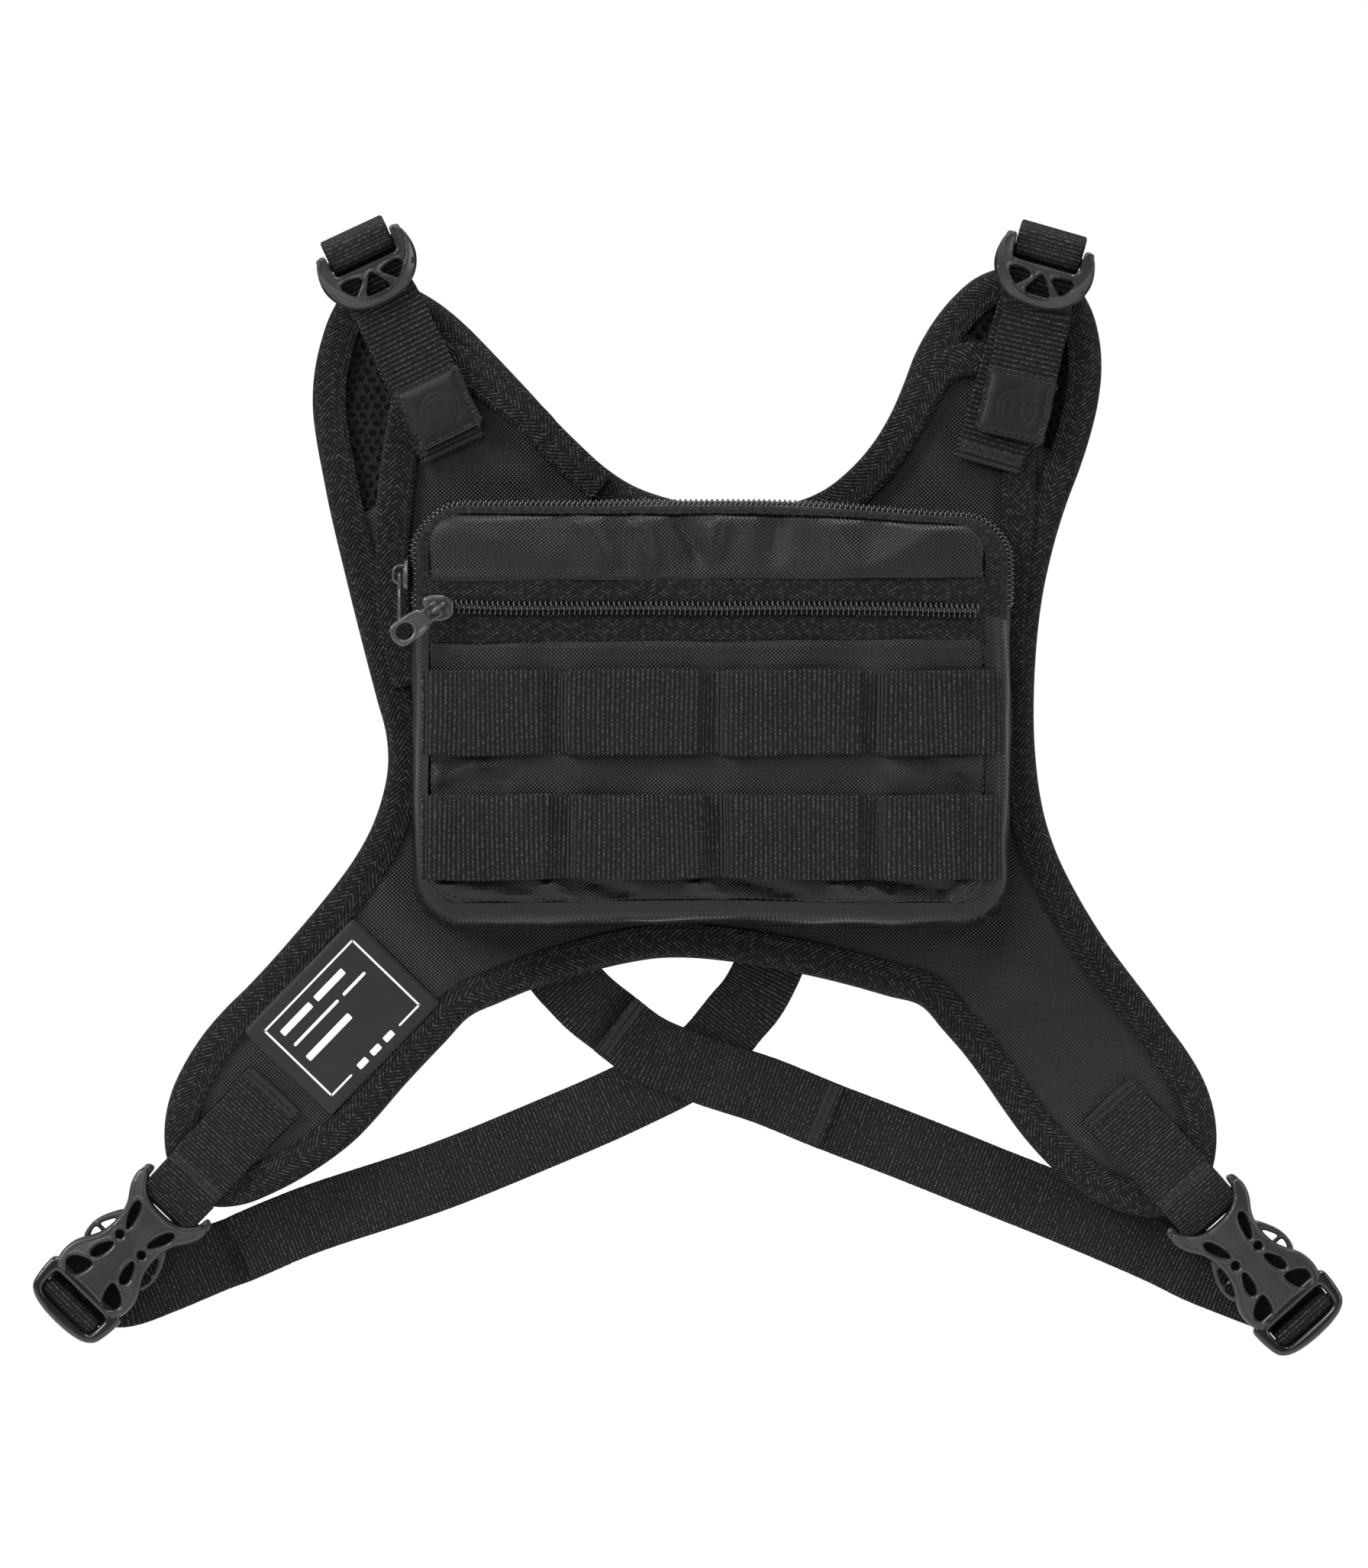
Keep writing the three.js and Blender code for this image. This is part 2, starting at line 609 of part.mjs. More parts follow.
for (const [side, shoulder] of Object.entries(SHOULDERS)) {
  const { lock, tail, anchor } = shoulder;
  const lockGroup = new THREE.Group();
  lockGroup.position.copy(lock.at);
  lockGroup.rotation.z = lock.angle;
  vest.add(lockGroup);
  add(`ladder_lock_${side}`, ladderLock(), "plastic", 0.4, lockGroup);

  const round = LOCK_SMALL_BAR_RADIUS + GAP + WEB / 2;
  const wrap = [
    [LOCK_SPLIT_S - GAP, LOCK_Z - round],
    ...arcRoute(LOCK_SMALL_BAR_S, LOCK_Z, round, 270, 90, 7),
    [LOCK_SPLIT_S - GAP, LOCK_Z + round - 0.6],
  ];
  add(`lock_webbing_${side}`, strapGeometry(turnStations(lock, wrap), WEB_WIDTH, WEB), "webbing");

  const anchorRoute = [[LOCK_SPLIT_S + 1.5, ANCHOR_Z], [60, ANCHOR_Z], [shoulder.anchorFoot, ANCHOR_Z]];
  add(`anchor_strap_${side}`, strapGeometry(turnStations(anchor, anchorRoute), WEB_WIDTH, WEB), "webbing");

  const tailRoute = [
    [LOCK_SPLIT_S + 1.5, LOCK_Z + round - 0.8],
    [34, TAIL_Z + 0.4],
    [50, TAIL_Z],
    [shoulder.patchFoot - 1, TAIL_Z],
  ];
  add(`strap_tail_${side}`, strapGeometry(turnStations(tail, tailRoute), WEB_WIDTH - 0.4, WEB), "webbing");

  const patchGroup = new THREE.Group();
  patchGroup.position.copy(tail.at);
  patchGroup.rotation.z = tail.angle;
  vest.add(patchGroup);
  const foot = shoulder.patchFoot;
  const half = PATCH.width / 2;
  const patch = box(foot - PATCH.length, foot, -half, half, PATCH.z, PATCH.z + PATCH.thickness);
  add(`tail_patch_${side}`, patch, "leather", 0.45, patchGroup);
}

// ---- Side release buckles ----
// Each buckle's frame starts between its horns; s runs out of the vest to the plug's rim.
const BUCKLES = {
  left: { frame: planeFrame(-185.65, -151.65, 225.6), strap: planeFrame(-148, -110.9, 227.2) },
  right: { frame: planeFrame(189.7, -155, -48), strap: planeFrame(153.45, -114.45, -48) },
};
const SOCKET = { half: 5.5, wall: 2.6, mouth: 46.4, bar: 1.5, web: 10.5 };
const PLUG = { start: 46.8, end: 60.6, half: 14.3, thick: 4.8, bar: 53.4, barRadius: 1.8 };
const ARM = { half: 2.4, pivot: 44.4, pivotAcross: 6.6, tip: 14.6 };

function buckleSocket() {
  const outline = mirrored([
    [8.6, 9], [7.4, 12.4], [-3, 13.1], [-4, 14.8], [-2.6, 16.6], [2, 16.6], [8, 13.8], [12.5, 10.2],
    [20, 8.9], [27, 9.9], [32.4, 14.4], [37, 15.4], [44.6, 14.2],
    [SOCKET.mouth, 12.6], [SOCKET.mouth - 1.8, 6], [SOCKET.mouth - 2.4, 0],
  ]);
  const holes = [
    oval(14, 6.2, 3.8, 1.2, -34),
    oval(14, -6.2, 3.8, 1.2, 34),
    oval(16.5, 0, 1.3, 1.3),
    oval(21.5, 0, 1.3, 1.3),
    oval(25, 5.2, 3, 1.5, 24),
    oval(25, -5.2, 3, 1.5, -24),
    oval(35.5, 6.6, 5, 2.2, 26),
    oval(35.5, -6.6, 5, 2.2, -26),
  ];
  const { half, wall } = SOCKET;
  const roof = plate(outline, half - wall, half, holes);
  const floor = plate(outline, -half, wall - half);
  const horn = (side) => {
    const shape = [
      [-3, 13.1], [-4, 14.8], [-2.6, 16.6], [2, 16.6], [8, 13.8], [11.5, 10.9], [8.6, 9], [7.4, 12.4],
    ];
    const points = shape.map(([x, y]) => [x, side * y]);
    return plate(side > 0 ? points : points.toReversed(), -half, half);
  };
  const web = box(9, SOCKET.web + 1.4, -9.4, 9.4, -half, half);
  return joined(roof, floor, horn(1), horn(-1), web, barAlongY(SOCKET.bar, 0, BUCKLE_BAR_RADIUS, 14));
}

function bucklePlug() {
  const { start, end, half, thick } = PLUG;
  const outline = mirrored([
    [start, half - 1.4], [start + 2, half], [end - 4, half], [end - 0.6, half - 3.4], [end, 0],
  ]);
  const slot = mirrored([[start + 2, 12.7], [end - 3.2, 12.7], [end - 2.6, 0]]);
  const rim = plate(outline.toReversed(), -thick, thick, [slot]);
  const tongue = box(20, start + 1, -2.4, 2.4, -ARM.half, ARM.half);
  return joined(rim, tongue, barAlongY(PLUG.bar, 0, PLUG.barRadius, 13.4));
}

function releaseArm(side) {
  const shape = [
    [ARM.pivot - 1.2, ARM.pivotAcross - 1.7], [ARM.pivot + 1.4, ARM.pivotAcross - 1],
    [ARM.pivot + 1.9, ARM.pivotAcross], [ARM.pivot + 1.4, ARM.pivotAcross + 1.2],
    [ARM.pivot - 4, ARM.pivotAcross + 2], [34, 10.2], [31.6, 14.6], [26, 15.6], [19, 13.6],
    [ARM.tip, 10.6], [ARM.tip, 8.8], [19, 8.6], [30, 7.9], [36, 6.2],
  ];
  const windows = [
    [[18.6, 10.4], [24.2, 13.6], [24.2, 10]],
    [[26, 13.8], [30.2, 12.8], [29, 9.8], [26, 9.9]],
  ];
  const place = (points) => {
    const turned = points.map(([x, y]) => [x, side * y]);
    return side > 0 ? turned : turned.toReversed();
  };
  return plate(place(shape), -ARM.half, ARM.half, windows.map(place));
}

for (const [side, { frame, strap }] of Object.entries(BUCKLES)) {
  const group = new THREE.Group();
  group.position.copy(frame.at).setZ(BUCKLE_Z);
  group.rotation.z = frame.angle;
  vest.add(group);
  add(`buckle_socket_${side}`, buckleSocket(), "plastic", 0.4, group);
  add(`buckle_plug_${side}`, bucklePlug(), "plastic", 0.4, group);
  add(`release_arm_${side}_upper`, releaseArm(side === "left" ? -1 : 1), "plastic", 0.4, group);
  add(`release_arm_${side}_lower`, releaseArm(side === "left" ? 1 : -1), "plastic", 0.4, group);

  // The short strap that holds the socket: sewn on the panel, over the binding, round the bar.
  const reach = frame.at.clone().sub(strap.at).length() + SOCKET.bar;
  const round = BUCKLE_BAR_RADIUS + GAP + WEB / 2;
  const flat = TRIM_Z + WEB / 2;
  const overBinding = OVER_TRIM_Z + WEB / 2;
  const upper = [[0, flat], [20, flat], [27, overBinding], [reach - 7, overBinding]];
  const turn = [
    ...arcRoute(SOCKET.bar, BUCKLE_Z, round, 90, -90, 7),
    [SOCKET.bar - 3.4, BUCKLE_Z - round + 0.2],
  ];
  const stations = [...turnStations(strap, upper), ...turnStations(frame, turn)];
  add(`buckle_strap_${side}`, strapGeometry(stations, WEB_WIDTH - 0.6, WEB), "webbing");
}

// ---- Cross-back straps ----
// The webbing on a plug: along under the socket, round the plug's bar, and back under itself. The
// strap comes in askew, so its width swings round to lie along the bar.
function plugWebbing(frame, start) {
  const round = PLUG.barRadius + GAP + WEB / 2;
  const under = BUCKLE_Z - SOCKET.half - GAP * 2 - WEB / 2;
  const run = flatStations([...start, placeIn(frame, 46, 0, under).toArray()], 7);
  run.forEach((station, i) => station.across.lerp(frame.across, (i / (run.length - 1)) ** 2).normalize());
  const route = [
    [50.2, under + 0.6],
    ...arcRoute(PLUG.bar, BUCKLE_Z, round, 200, -60, 8),
    [PLUG.bar - 0.5, under - STRAP_LIFT + 0.6],
    [46, under - STRAP_LIFT],
    [36, under - STRAP_LIFT],
  ];
  return strapGeometry([...run, ...turnStations(frame, route)], WEB_WIDTH - 0.4, WEB);
}

const underLap = BACK_STRAP_Z - STRAP_LIFT;
const leftStart = [
  [-148, -162.5, underLap],
  [-161, -168.5, underLap],
  [-170, -172, underLap + 0.4],
  [-181, -177, underLap + 1.6],
  [-204, -185.5, underLap + 1.7],
];
const rightStart = [
  [186.5, -176.3, BACK_STRAP_Z], [198, -181, BACK_STRAP_Z - 0.1], [211, -186, BACK_STRAP_Z - 0.2],
];
add("plug_webbing_left", plugWebbing(BUCKLES.left.frame, leftStart), "webbing");
add("plug_webbing_right", plugWebbing(BUCKLES.right.frame, rightStart), "webbing");

// The strap from the left buckle passes up behind the vest to the right shoulder, and the other
// one the other way. They cross below the vest, where the second one holds the first in a keeper.
const toRightShoulder = [
  [-163, -168.6], [-130, -156.4], [-90, -143.2], [-50, -127], [-20, -113.8], [4, -101], [18, -86],
  [30, -68.4], [52, -14], [82, 66], [108, 136], [127, 176],
].map(([x, y]) => [x, y, BACK_STRAP_Z]);
const crossingDip = (x) => (x > -28 && x < 36 ? LOWER_STRAP_Z : BACK_STRAP_Z);
const toLeftShoulder = [
  [185.5, -175.5], [170, -168.3], [140, -155.5], [110, -143.5], [80, -131.5], [50, -120],
  [30, -111.8], [8, -104.6], [-12, -96.8], [-25, -87.5], [-38, -76.5], [-52, -58], [-66, -20],
  [-84, 50], [-102, 130], [-112, 176],
].map(([x, y]) => [x, y, crossingDip(x)]);
function backStrap(name, route, shoulder) {
  const loop = turnStations(shoulder.lock, lockLoopRoute(), -1);
  add(name, strapGeometry([...flatStations(route, 14), ...loop], WEB_WIDTH, WEB), "webbing");
}
backStrap("back_strap_from_left_buckle", toRightShoulder, SHOULDERS.right);
backStrap("back_strap_from_right_buckle", toLeftShoulder, SHOULDERS.left);

const keeperZ = BACK_STRAP_Z + STRAP_LIFT;
const keeperRoute = [
  [-25.5, -87.2], [-12, -96.8], [8, -104.6], [30, -111.8], [53.5, -121.4],
].map(([x, y]) => [x, y, keeperZ]);
add("strap_keeper", strapGeometry(flatStations(keeperRoute, 8), WEB_WIDTH, WEB), "webbing");

// Upright, with the front towards -Y.
vest.rotation.x = Math.PI / 2;
const part = new THREE.Group();
part.add(vest);

export default part;
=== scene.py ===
import json
import math

import bmesh
import bpy
import numpy as np
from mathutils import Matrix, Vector, kdtree, noise


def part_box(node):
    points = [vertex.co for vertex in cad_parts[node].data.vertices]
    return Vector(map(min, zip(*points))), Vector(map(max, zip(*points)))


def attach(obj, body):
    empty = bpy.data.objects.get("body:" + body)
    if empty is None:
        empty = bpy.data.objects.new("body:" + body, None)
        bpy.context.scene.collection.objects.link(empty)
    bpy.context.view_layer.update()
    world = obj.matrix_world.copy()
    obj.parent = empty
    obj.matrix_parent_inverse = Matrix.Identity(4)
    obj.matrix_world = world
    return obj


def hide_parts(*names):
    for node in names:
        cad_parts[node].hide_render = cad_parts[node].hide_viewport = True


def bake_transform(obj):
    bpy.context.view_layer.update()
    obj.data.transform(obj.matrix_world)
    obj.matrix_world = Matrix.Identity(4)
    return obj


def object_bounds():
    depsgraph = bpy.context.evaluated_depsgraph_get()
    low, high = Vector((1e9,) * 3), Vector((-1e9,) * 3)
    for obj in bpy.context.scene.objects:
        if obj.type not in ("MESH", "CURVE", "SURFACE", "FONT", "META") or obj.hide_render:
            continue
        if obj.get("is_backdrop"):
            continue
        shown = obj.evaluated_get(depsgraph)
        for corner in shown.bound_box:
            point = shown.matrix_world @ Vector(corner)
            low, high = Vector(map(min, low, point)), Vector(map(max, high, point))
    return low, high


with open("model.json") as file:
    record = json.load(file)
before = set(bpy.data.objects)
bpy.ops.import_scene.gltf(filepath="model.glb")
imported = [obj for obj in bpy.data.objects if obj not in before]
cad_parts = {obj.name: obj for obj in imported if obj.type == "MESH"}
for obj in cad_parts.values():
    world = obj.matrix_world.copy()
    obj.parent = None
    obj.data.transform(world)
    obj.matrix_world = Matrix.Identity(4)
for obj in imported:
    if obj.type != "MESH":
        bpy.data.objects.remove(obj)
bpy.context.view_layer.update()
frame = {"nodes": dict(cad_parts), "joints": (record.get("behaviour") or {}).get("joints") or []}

# The vest is drawn laid flat, in millimetres: x to the right, y up the chest, z out of the wearer.
MM = 0.001
TURN = 2 * math.pi
# The clearance between layers, and the thickness of webbing and of tape.
GAP, WEB, TAPE = 0.3, 1.6, 0.8
SIDES, ENDS = ("left", "right"), ("upper", "lower")
FLOAT, VECTOR = "NodeSocketFloat", "NodeSocketVector"
JOINTS = {joint["name"]: joint for joint in frame["joints"]}
UP, OUT = np.array([0.0, 1.0, 0.0]), np.array([0.0, 0.0, 1.0])


# ---- Places ----
def placed(points):
    """Flat millimetres to the row frame's metres."""
    points = np.asarray(points, float).reshape(-1, 3)
    return np.column_stack([points[:, 0], -points[:, 2], points[:, 1]]) * MM


def flat(point):
    """A point of the row frame as flat millimetres."""
    return np.array([point[0], point[2], -point[1]], float) / MM


def level(node):
    """How far out a CAD node starts and ends."""
    low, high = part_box(node)
    return -high.y / MM, -low.y / MM


class Local:
    """A frame in the plane of the vest: s runs along `down`, t square to it."""

    def __init__(self, at, down):
        self.at = np.array([at[0], at[1]], float)
        self.down = np.array([down[0], down[1]], float) / np.hypot(down[0], down[1])
        self.across = np.array([-self.down[1], self.down[0]])
        self.wide = np.array([*self.across, 0.0])

    def points(self, rows):
        rows = np.asarray(rows, float).reshape(-1, 3)
        plan = self.at + rows[:, :1] * self.down + rows[:, 1:2] * self.across
        return np.column_stack([plan, rows[:, 2]])

    def stations(self, route, side=1.0):
        """A strap's stations that turn round bars; its route is in (s, z)."""
        return [(p, self.wide * side) for p in self.points([[s, 0.0, z] for s, z in route])]

    def edges(self, s, z, half):
        """The two ends of a line across the strap."""
        return self.points([[s, -half, z], [s, half, z]])


def angled(at, degrees):
    return Local(at, (math.cos(math.radians(degrees)), math.sin(math.radians(degrees))))


LOCK_BAR_S = 10.0
ARM_PIVOT_S = 44.4


def lock_local(side):
    joint = JOINTS[f"ladder_lock_{side}_tilt"]
    down = np.array([-joint["axis"][2], joint["axis"][0]])
    return Local(flat(joint["pos_m"])[:2] - down * LOCK_BAR_S, down)


def buckle_local(side):
    down = np.array(JOINTS[f"buckle_{side}_pull_out"]["axis"])[[0, 2]]
    arms = [flat(JOINTS[f"release_arm_{side}_{end}_squeeze"]["pos_m"]) for end in ENDS]
    return Local((arms[0] + arms[1])[:2] / 2 - down * ARM_PIVOT_S, down)


LOCKS = {side: lock_local(side) for side in SIDES}
BUCKLES = {side: buckle_local(side) for side in SIDES}
LOCK_Z = flat(JOINTS["ladder_lock_left_tilt"]["pos_m"])[2]
BUCKLE_Z = flat(JOINTS["release_arm_left_upper_squeeze"]["pos_m"])[2]


# ---- Lines ----
def curve(points, step, closed=False, corners=False):
    """Points about a step apart on a smooth line through the given ones."""
    points = np.asarray(points, float)
    n = len(points)
    made = []
    for i in range(n if closed else n - 1):
        ends = [(i - 1) % n, i, (i + 1) % n, (i + 2) % n] if closed else [
            max(i - 1, 0), i, i + 1, min(i + 2, n - 1)
        ]
        a, b, c, d = points[ends]
        if corners:
            a = b if sharp(a, b, c) else a
            d = c if sharp(b, c, d) else d
        count = max(2, math.ceil(np.linalg.norm(c - b) / step) * 3)
        t = np.linspace(0, 1, count, endpoint=False)[:, None]
        made.append(
            0.5 * (2 * b + (c - a) * t + (2 * a - 5 * b + 4 * c - d) * t**2 + (3 * b - a - 3 * c + d) * t**3)
        )
    if not closed:
        made.append(points[-1:])
    return spaced(np.vstack(made), step, closed)


def sharp(a, b, c):
    first, second = b - a, c - b
    size = np.linalg.norm(first) * np.linalg.norm(second)
    return size > 0 and first @ second / size < 0.72


def run_of(line):
    """How far along the line each of its points is."""
    return np.concatenate([[0], np.cumsum(np.linalg.norm(np.diff(line, axis=0), axis=1))])


def spaced(points, step, closed=False):
    """The same line with even steps."""
    line = np.vstack([points, points[:1]]) if closed else points
    along = run_of(line)
    count = max(2, round(along[-1] / step))
    at = np.linspace(0, along[-1], count + 1)[:count if closed else None]
    return np.column_stack([np.interp(at, along, line[:, i]) for i in range(line.shape[1])])


def directions(line, closed=False):
    if closed:
        ahead = np.roll(line, -1, 0) - np.roll(line, 1, 0)
    else:
        ahead = np.gradient(line, axis=0)
    return ahead / np.linalg.norm(ahead, axis=1, keepdims=True)


def inset(loop, distance):
    """A counter-clockwise loop moved inwards."""
    along = directions(loop, closed=True)
    return loop + np.column_stack([-along[:, 1], along[:, 0]]) * distance


def opened(loop):
    """A line that goes nearly all the way round, started after its gap."""
    start = np.argmax(np.linalg.norm(loop - np.roll(loop, 1, 0), axis=1))
    return np.roll(loop, -start, 0)


def anticlockwise(loop):
    return loop if area(loop) > 0 else loop[::-1]


def mirrored(half):
    """A closed outline from its half on one side of the s axis, whose ends lie on it."""
    half = np.asarray(half, float)
    return anticlockwise(np.vstack([half, half[-2:0:-1] * np.array([1, -1])]))


def tree_of(points):
    tree = kdtree.KDTree(len(points))
    for i, (x, y) in enumerate(points):
        tree.insert((x, y, 0), i)
    tree.balance()
    return tree


def arc(s, z, radius, start, end, steps=8):
    """A strap's route round a bar, in (s, z), between two angles in degrees."""
    angles = np.radians(np.linspace(start, end, steps + 1))
    return [(s + radius * math.cos(a), z + radius * math.sin(a)) for a in angles]


def rounded_rectangle(left, right, bottom, top, radius, steps=8):
    corners = [
        (right - radius, bottom + radius, -0.5),
        (right - radius, top - radius, 0.0),
        (left + radius, top - radius, 0.5),
        (left + radius, bottom + radius, 1.0),
    ]
    turn = np.linspace(0, 0.5, steps + 1) * math.pi
    return np.array([
        (x + radius * math.cos(start * math.pi + a), y + radius * math.sin(start * math.pi + a))
        for x, y, start in corners
        for a in turn
    ])


def oval(x, y, rx, ry, turn=0.0, sides=24, point=0.0):
    """An oval hole; `point` draws its far end out into a drop."""
    a = np.linspace(0, TURN, sides, endpoint=False)
    u = rx * np.cos(a)
    v = ry * np.sin(a) * (1 - point * np.cos(a))
    c, s = math.cos(math.radians(turn)), math.sin(math.radians(turn))
    return np.column_stack([x + u * c - v * s, y + u * s + v * c])


def outline(node, step, first):
    """The outline of a CAD node's front face, as smooth flat points, counter-clockwise. It starts at the
    corner nearest to `first`, so that it is the same in each run."""
    mesh = bmesh.new()
    mesh.from_mesh(frame["nodes"][node].data)
    bmesh.ops.remove_doubles(mesh, verts=mesh.verts, dist=1e-6)
    front = min(v.co.y for v in mesh.verts)
    faces = {f for f in mesh.faces if all(abs(v.co.y - front) < 1e-5 for v in f.verts)}
    rim = [e for f in faces for e in f.edges if sum(g in faces for g in e.link_faces) == 1]
    after = {}
    for edge in rim:
        for vert in edge.verts:
            after.setdefault(vert, []).append(edge.other_vert(vert))
    loops = []
    while after:
        start = next(iter(after))
        loop, here, before = [], start, None
        while here in after:
            loop.append(flat(here.co)[:2])
            ways = after.pop(here)
            onward = [v for v in ways if v is not before]
            before, here = here, onward[0]
        loops.append(np.array(loop))
    mesh.free()
    loop = anticlockwise(max(loops, key=lambda points: abs(area(points))))
    nearest = np.argmin(np.linalg.norm(loop - np.array(first), axis=1))
    return curve(np.roll(loop, -nearest, 0), step, closed=True, corners=True)


def area(loop):
    x, y = loop[:, 0], loop[:, 1]
    return 0.5 * float(np.sum(x * np.roll(y, -1) - np.roll(x, -1) * y))


# ---- Relief ----
def cloud(points, size, seed=0.0):
    """Smooth noise from -1 to 1 over points in millimetres."""
    offset = Vector((seed * 17.3, seed * 5.1, seed * 9.7))
    solid = [Vector((*p[:2], p[2] if len(p) > 2 else 0.0)) for p in points]
    return np.array([noise.noise(p / size + offset) for p in solid])


def folds(x, y, lines):
    """Soft ridges and creases: each is (x0, y0, x1, y1, half width, height)."""
    height = np.zeros_like(x)
    for x0, y0, x1, y1, width, rise in lines:
        length = math.hypot(x1 - x0, y1 - y0)
        along = ((x - x0) * (x1 - x0) + (y - y0) * (y1 - y0)) / length**2
        aside = ((x - x0) * (y1 - y0) - (y - y0) * (x1 - x0)) / length
        beyond = np.maximum(np.maximum(-along, along - 1), 0) * length
        height += rise * np.exp(-((aside / width) ** 2) - (beyond / (1.6 * width)) ** 2)
    return height


def edge_drop(distance, radius):
    """How far a rounded edge falls at a distance in from the rim."""
    short = radius - np.clip(distance, 0, radius)
    return radius - np.sqrt(np.maximum(radius**2 - short**2, 0))


def smoothstep(a, b, x):
    t = np.clip((x - a) / (b - a), 0, 1)
    return t * t * (3 - 2 * t)


# ---- Pieces ----
def clear_selection():
    bpy.ops.object.select_all(action="DESELECT")


def make_active(piece):
    clear_selection()
    piece.select_set(True)
    bpy.context.view_layer.objects.active = piece


def apply_modifier(piece, kind, **settings):
    modifier = piece.modifiers.new(kind.lower(), kind)
    for name, value in settings.items():
        setattr(modifier, name, value)
    make_active(piece)
    bpy.ops.object.modifier_apply(modifier=modifier.name)


def piece_from(name, points, faces, uv=None):
    """A mesh object from flat millimetres; uv gives each point's place on the cloth, in millimetres."""
    mesh = bpy.data.meshes.new(name)
    mesh.from_pydata(placed(points).tolist(), [], faces)
    mesh.validate()
    if uv is not None:
        layer = mesh.uv_layers.new(name="cloth")
        corners = np.empty(len(mesh.loops), np.int32)
        mesh.loops.foreach_get("vertex_index", corners)
        layer.data.foreach_set("uv", (np.asarray(uv, float)[corners] * MM * 10).ravel())
    piece = bpy.data.objects.new(name, mesh)
    bpy.context.scene.collection.objects.link(piece)
    return piece


def smooth(piece, degrees=50):
    make_active(piece)
    bpy.ops.object.shade_smooth_by_angle(angle=math.radians(degrees))


def joined(name, pieces):
    clear_selection()
    for piece in pieces:
        piece.select_set(True)
    bpy.context.view_layer.objects.active = pieces[0]
    if len(pieces) > 1:
        bpy.ops.object.join()
    pieces[0].name = name
    pieces[0].data.name = name
    return pieces[0]


def done(piece, material, body="root", replaces=(), degrees=50):
    smooth(piece, degrees)
    piece.data.materials.clear()
    piece.data.materials.append(material)
    if isinstance(body, str):
        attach(piece, body)
    else:
        root, mover, start, end = body
        placed([start])[0]
        placed([end])[0]
        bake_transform(piece)
    if replaces:
        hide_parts(*replaces)
    return piece


def ring_faces(rings, size, closed=False, wrap=True):
    """The quads that join each ring of points to the next."""
    faces = []
    for i in range(rings if closed else rings - 1):
        n = (i + 1) % rings
        for j in range(size if wrap else size - 1):
            k = (j + 1) % size
            faces.append((i * size + j, i * size + k, n * size + k, n * size + j))
    return faces


def capped_faces(rings, size):
    """The same, with both ends closed."""
    last = (rings - 1) * size
    return [*ring_faces(rings, size), tuple(reversed(range(size))), tuple(last + i for i in range(size))]


def face(height, radius=0.0, hand=1):
    """A plate's flat face with a rounded rim; hand is -1 for the face underneath."""
    return lambda x, y, d: height - hand * edge_drop(d, radius)


def length_of(stations):
    """A strap's length along its route, in metres."""
    return run_of(np.array([p for p, _ in stations]))[-1] * MM


def section(width, thick, top=9, edge=0.45):
    """A flat strap's cross section as (across, out, side): side is 1 on its faces, 0 on its edges."""
    half, r = width / 2, thick / 2
    over = np.linspace(half - r, r - half, top)
    round_left = [(-half + r - r * math.sin(a), r * math.cos(a)) for a in (0.5, math.pi / 2, math.pi - 0.5)]
    points = [(t, r, 1.0) for t in over]
    points += [(t, n, edge) for t, n in round_left]
    points += [(t, -r, 1.0) for t in over[::-1]]
    points += [(-t, -n, edge) for t, n in round_left]
    return np.array(points)


def swept(stations, step):
    """Even stations along a strap: its line, its width's direction and its outward one."""
    points = np.array([p for p, _ in stations], float)
    across = np.array([a for _, a in stations], float)
    both = curve(np.hstack([points, across * 8]), step)
    line = both[:, :3]
    along = directions(line)
    side = both[:, 3:] - along * np.sum(both[:, 3:] * along, axis=1, keepdims=True)
    side /= np.linalg.norm(side, axis=1, keepdims=True)
    return line, side, np.cross(along, side)


def strap(name, stations, width, thick=WEB, pitch=1.4, rib=0.13, seed=1.0):
    """Ribbed webbing. The ribs cross it, and its cut ends are sealed."""
    line, side, out = swept(stations, pitch / 4)
    run = run_of(line)
    cut = section(width, thick)
    ridge = rib * (0.5 - 0.5 * np.cos(TURN * run / pitch))
    nib = 0.16 * np.array([noise.noise(Vector((r / 1.1, seed * 9.1, 4.0))) for r in run])
    hand, ribbed = np.sign(cut[:, 1]), cut[:, 2]
    thickness = cut[:, 1] + hand * (ridge[:, None] * ribbed) - hand * rib * 0.6 * ribbed
    wide = cut[:, 0] * (1 + (nib / width)[:, None])
    points = (
        line[:, None, :]
        + side[:, None, :] * wide[:, :, None]
        + out[:, None, :] * thickness[:, :, None]
    )
    uv = np.stack([np.broadcast_to(cut[:, 0], wide.shape), np.broadcast_to(run[:, None], wide.shape)], axis=2)
    faces = capped_faces(len(line), len(cut))
    return piece_from(name, points.reshape(-1, 3), faces, uv.reshape(-1, 2))


def inside(points, loops):
    x, y = points[:, 0], points[:, 1]
    found = np.zeros(len(points), bool)
    for loop in loops:
        for (x0, y0), (x1, y1) in zip(loop, np.roll(loop, -1, 0)):
            if y0 != y1:
                found ^= ((y0 > y) != (y1 > y)) & (x < x0 + (y - y0) * (x1 - x0) / (y1 - y0))
    return found


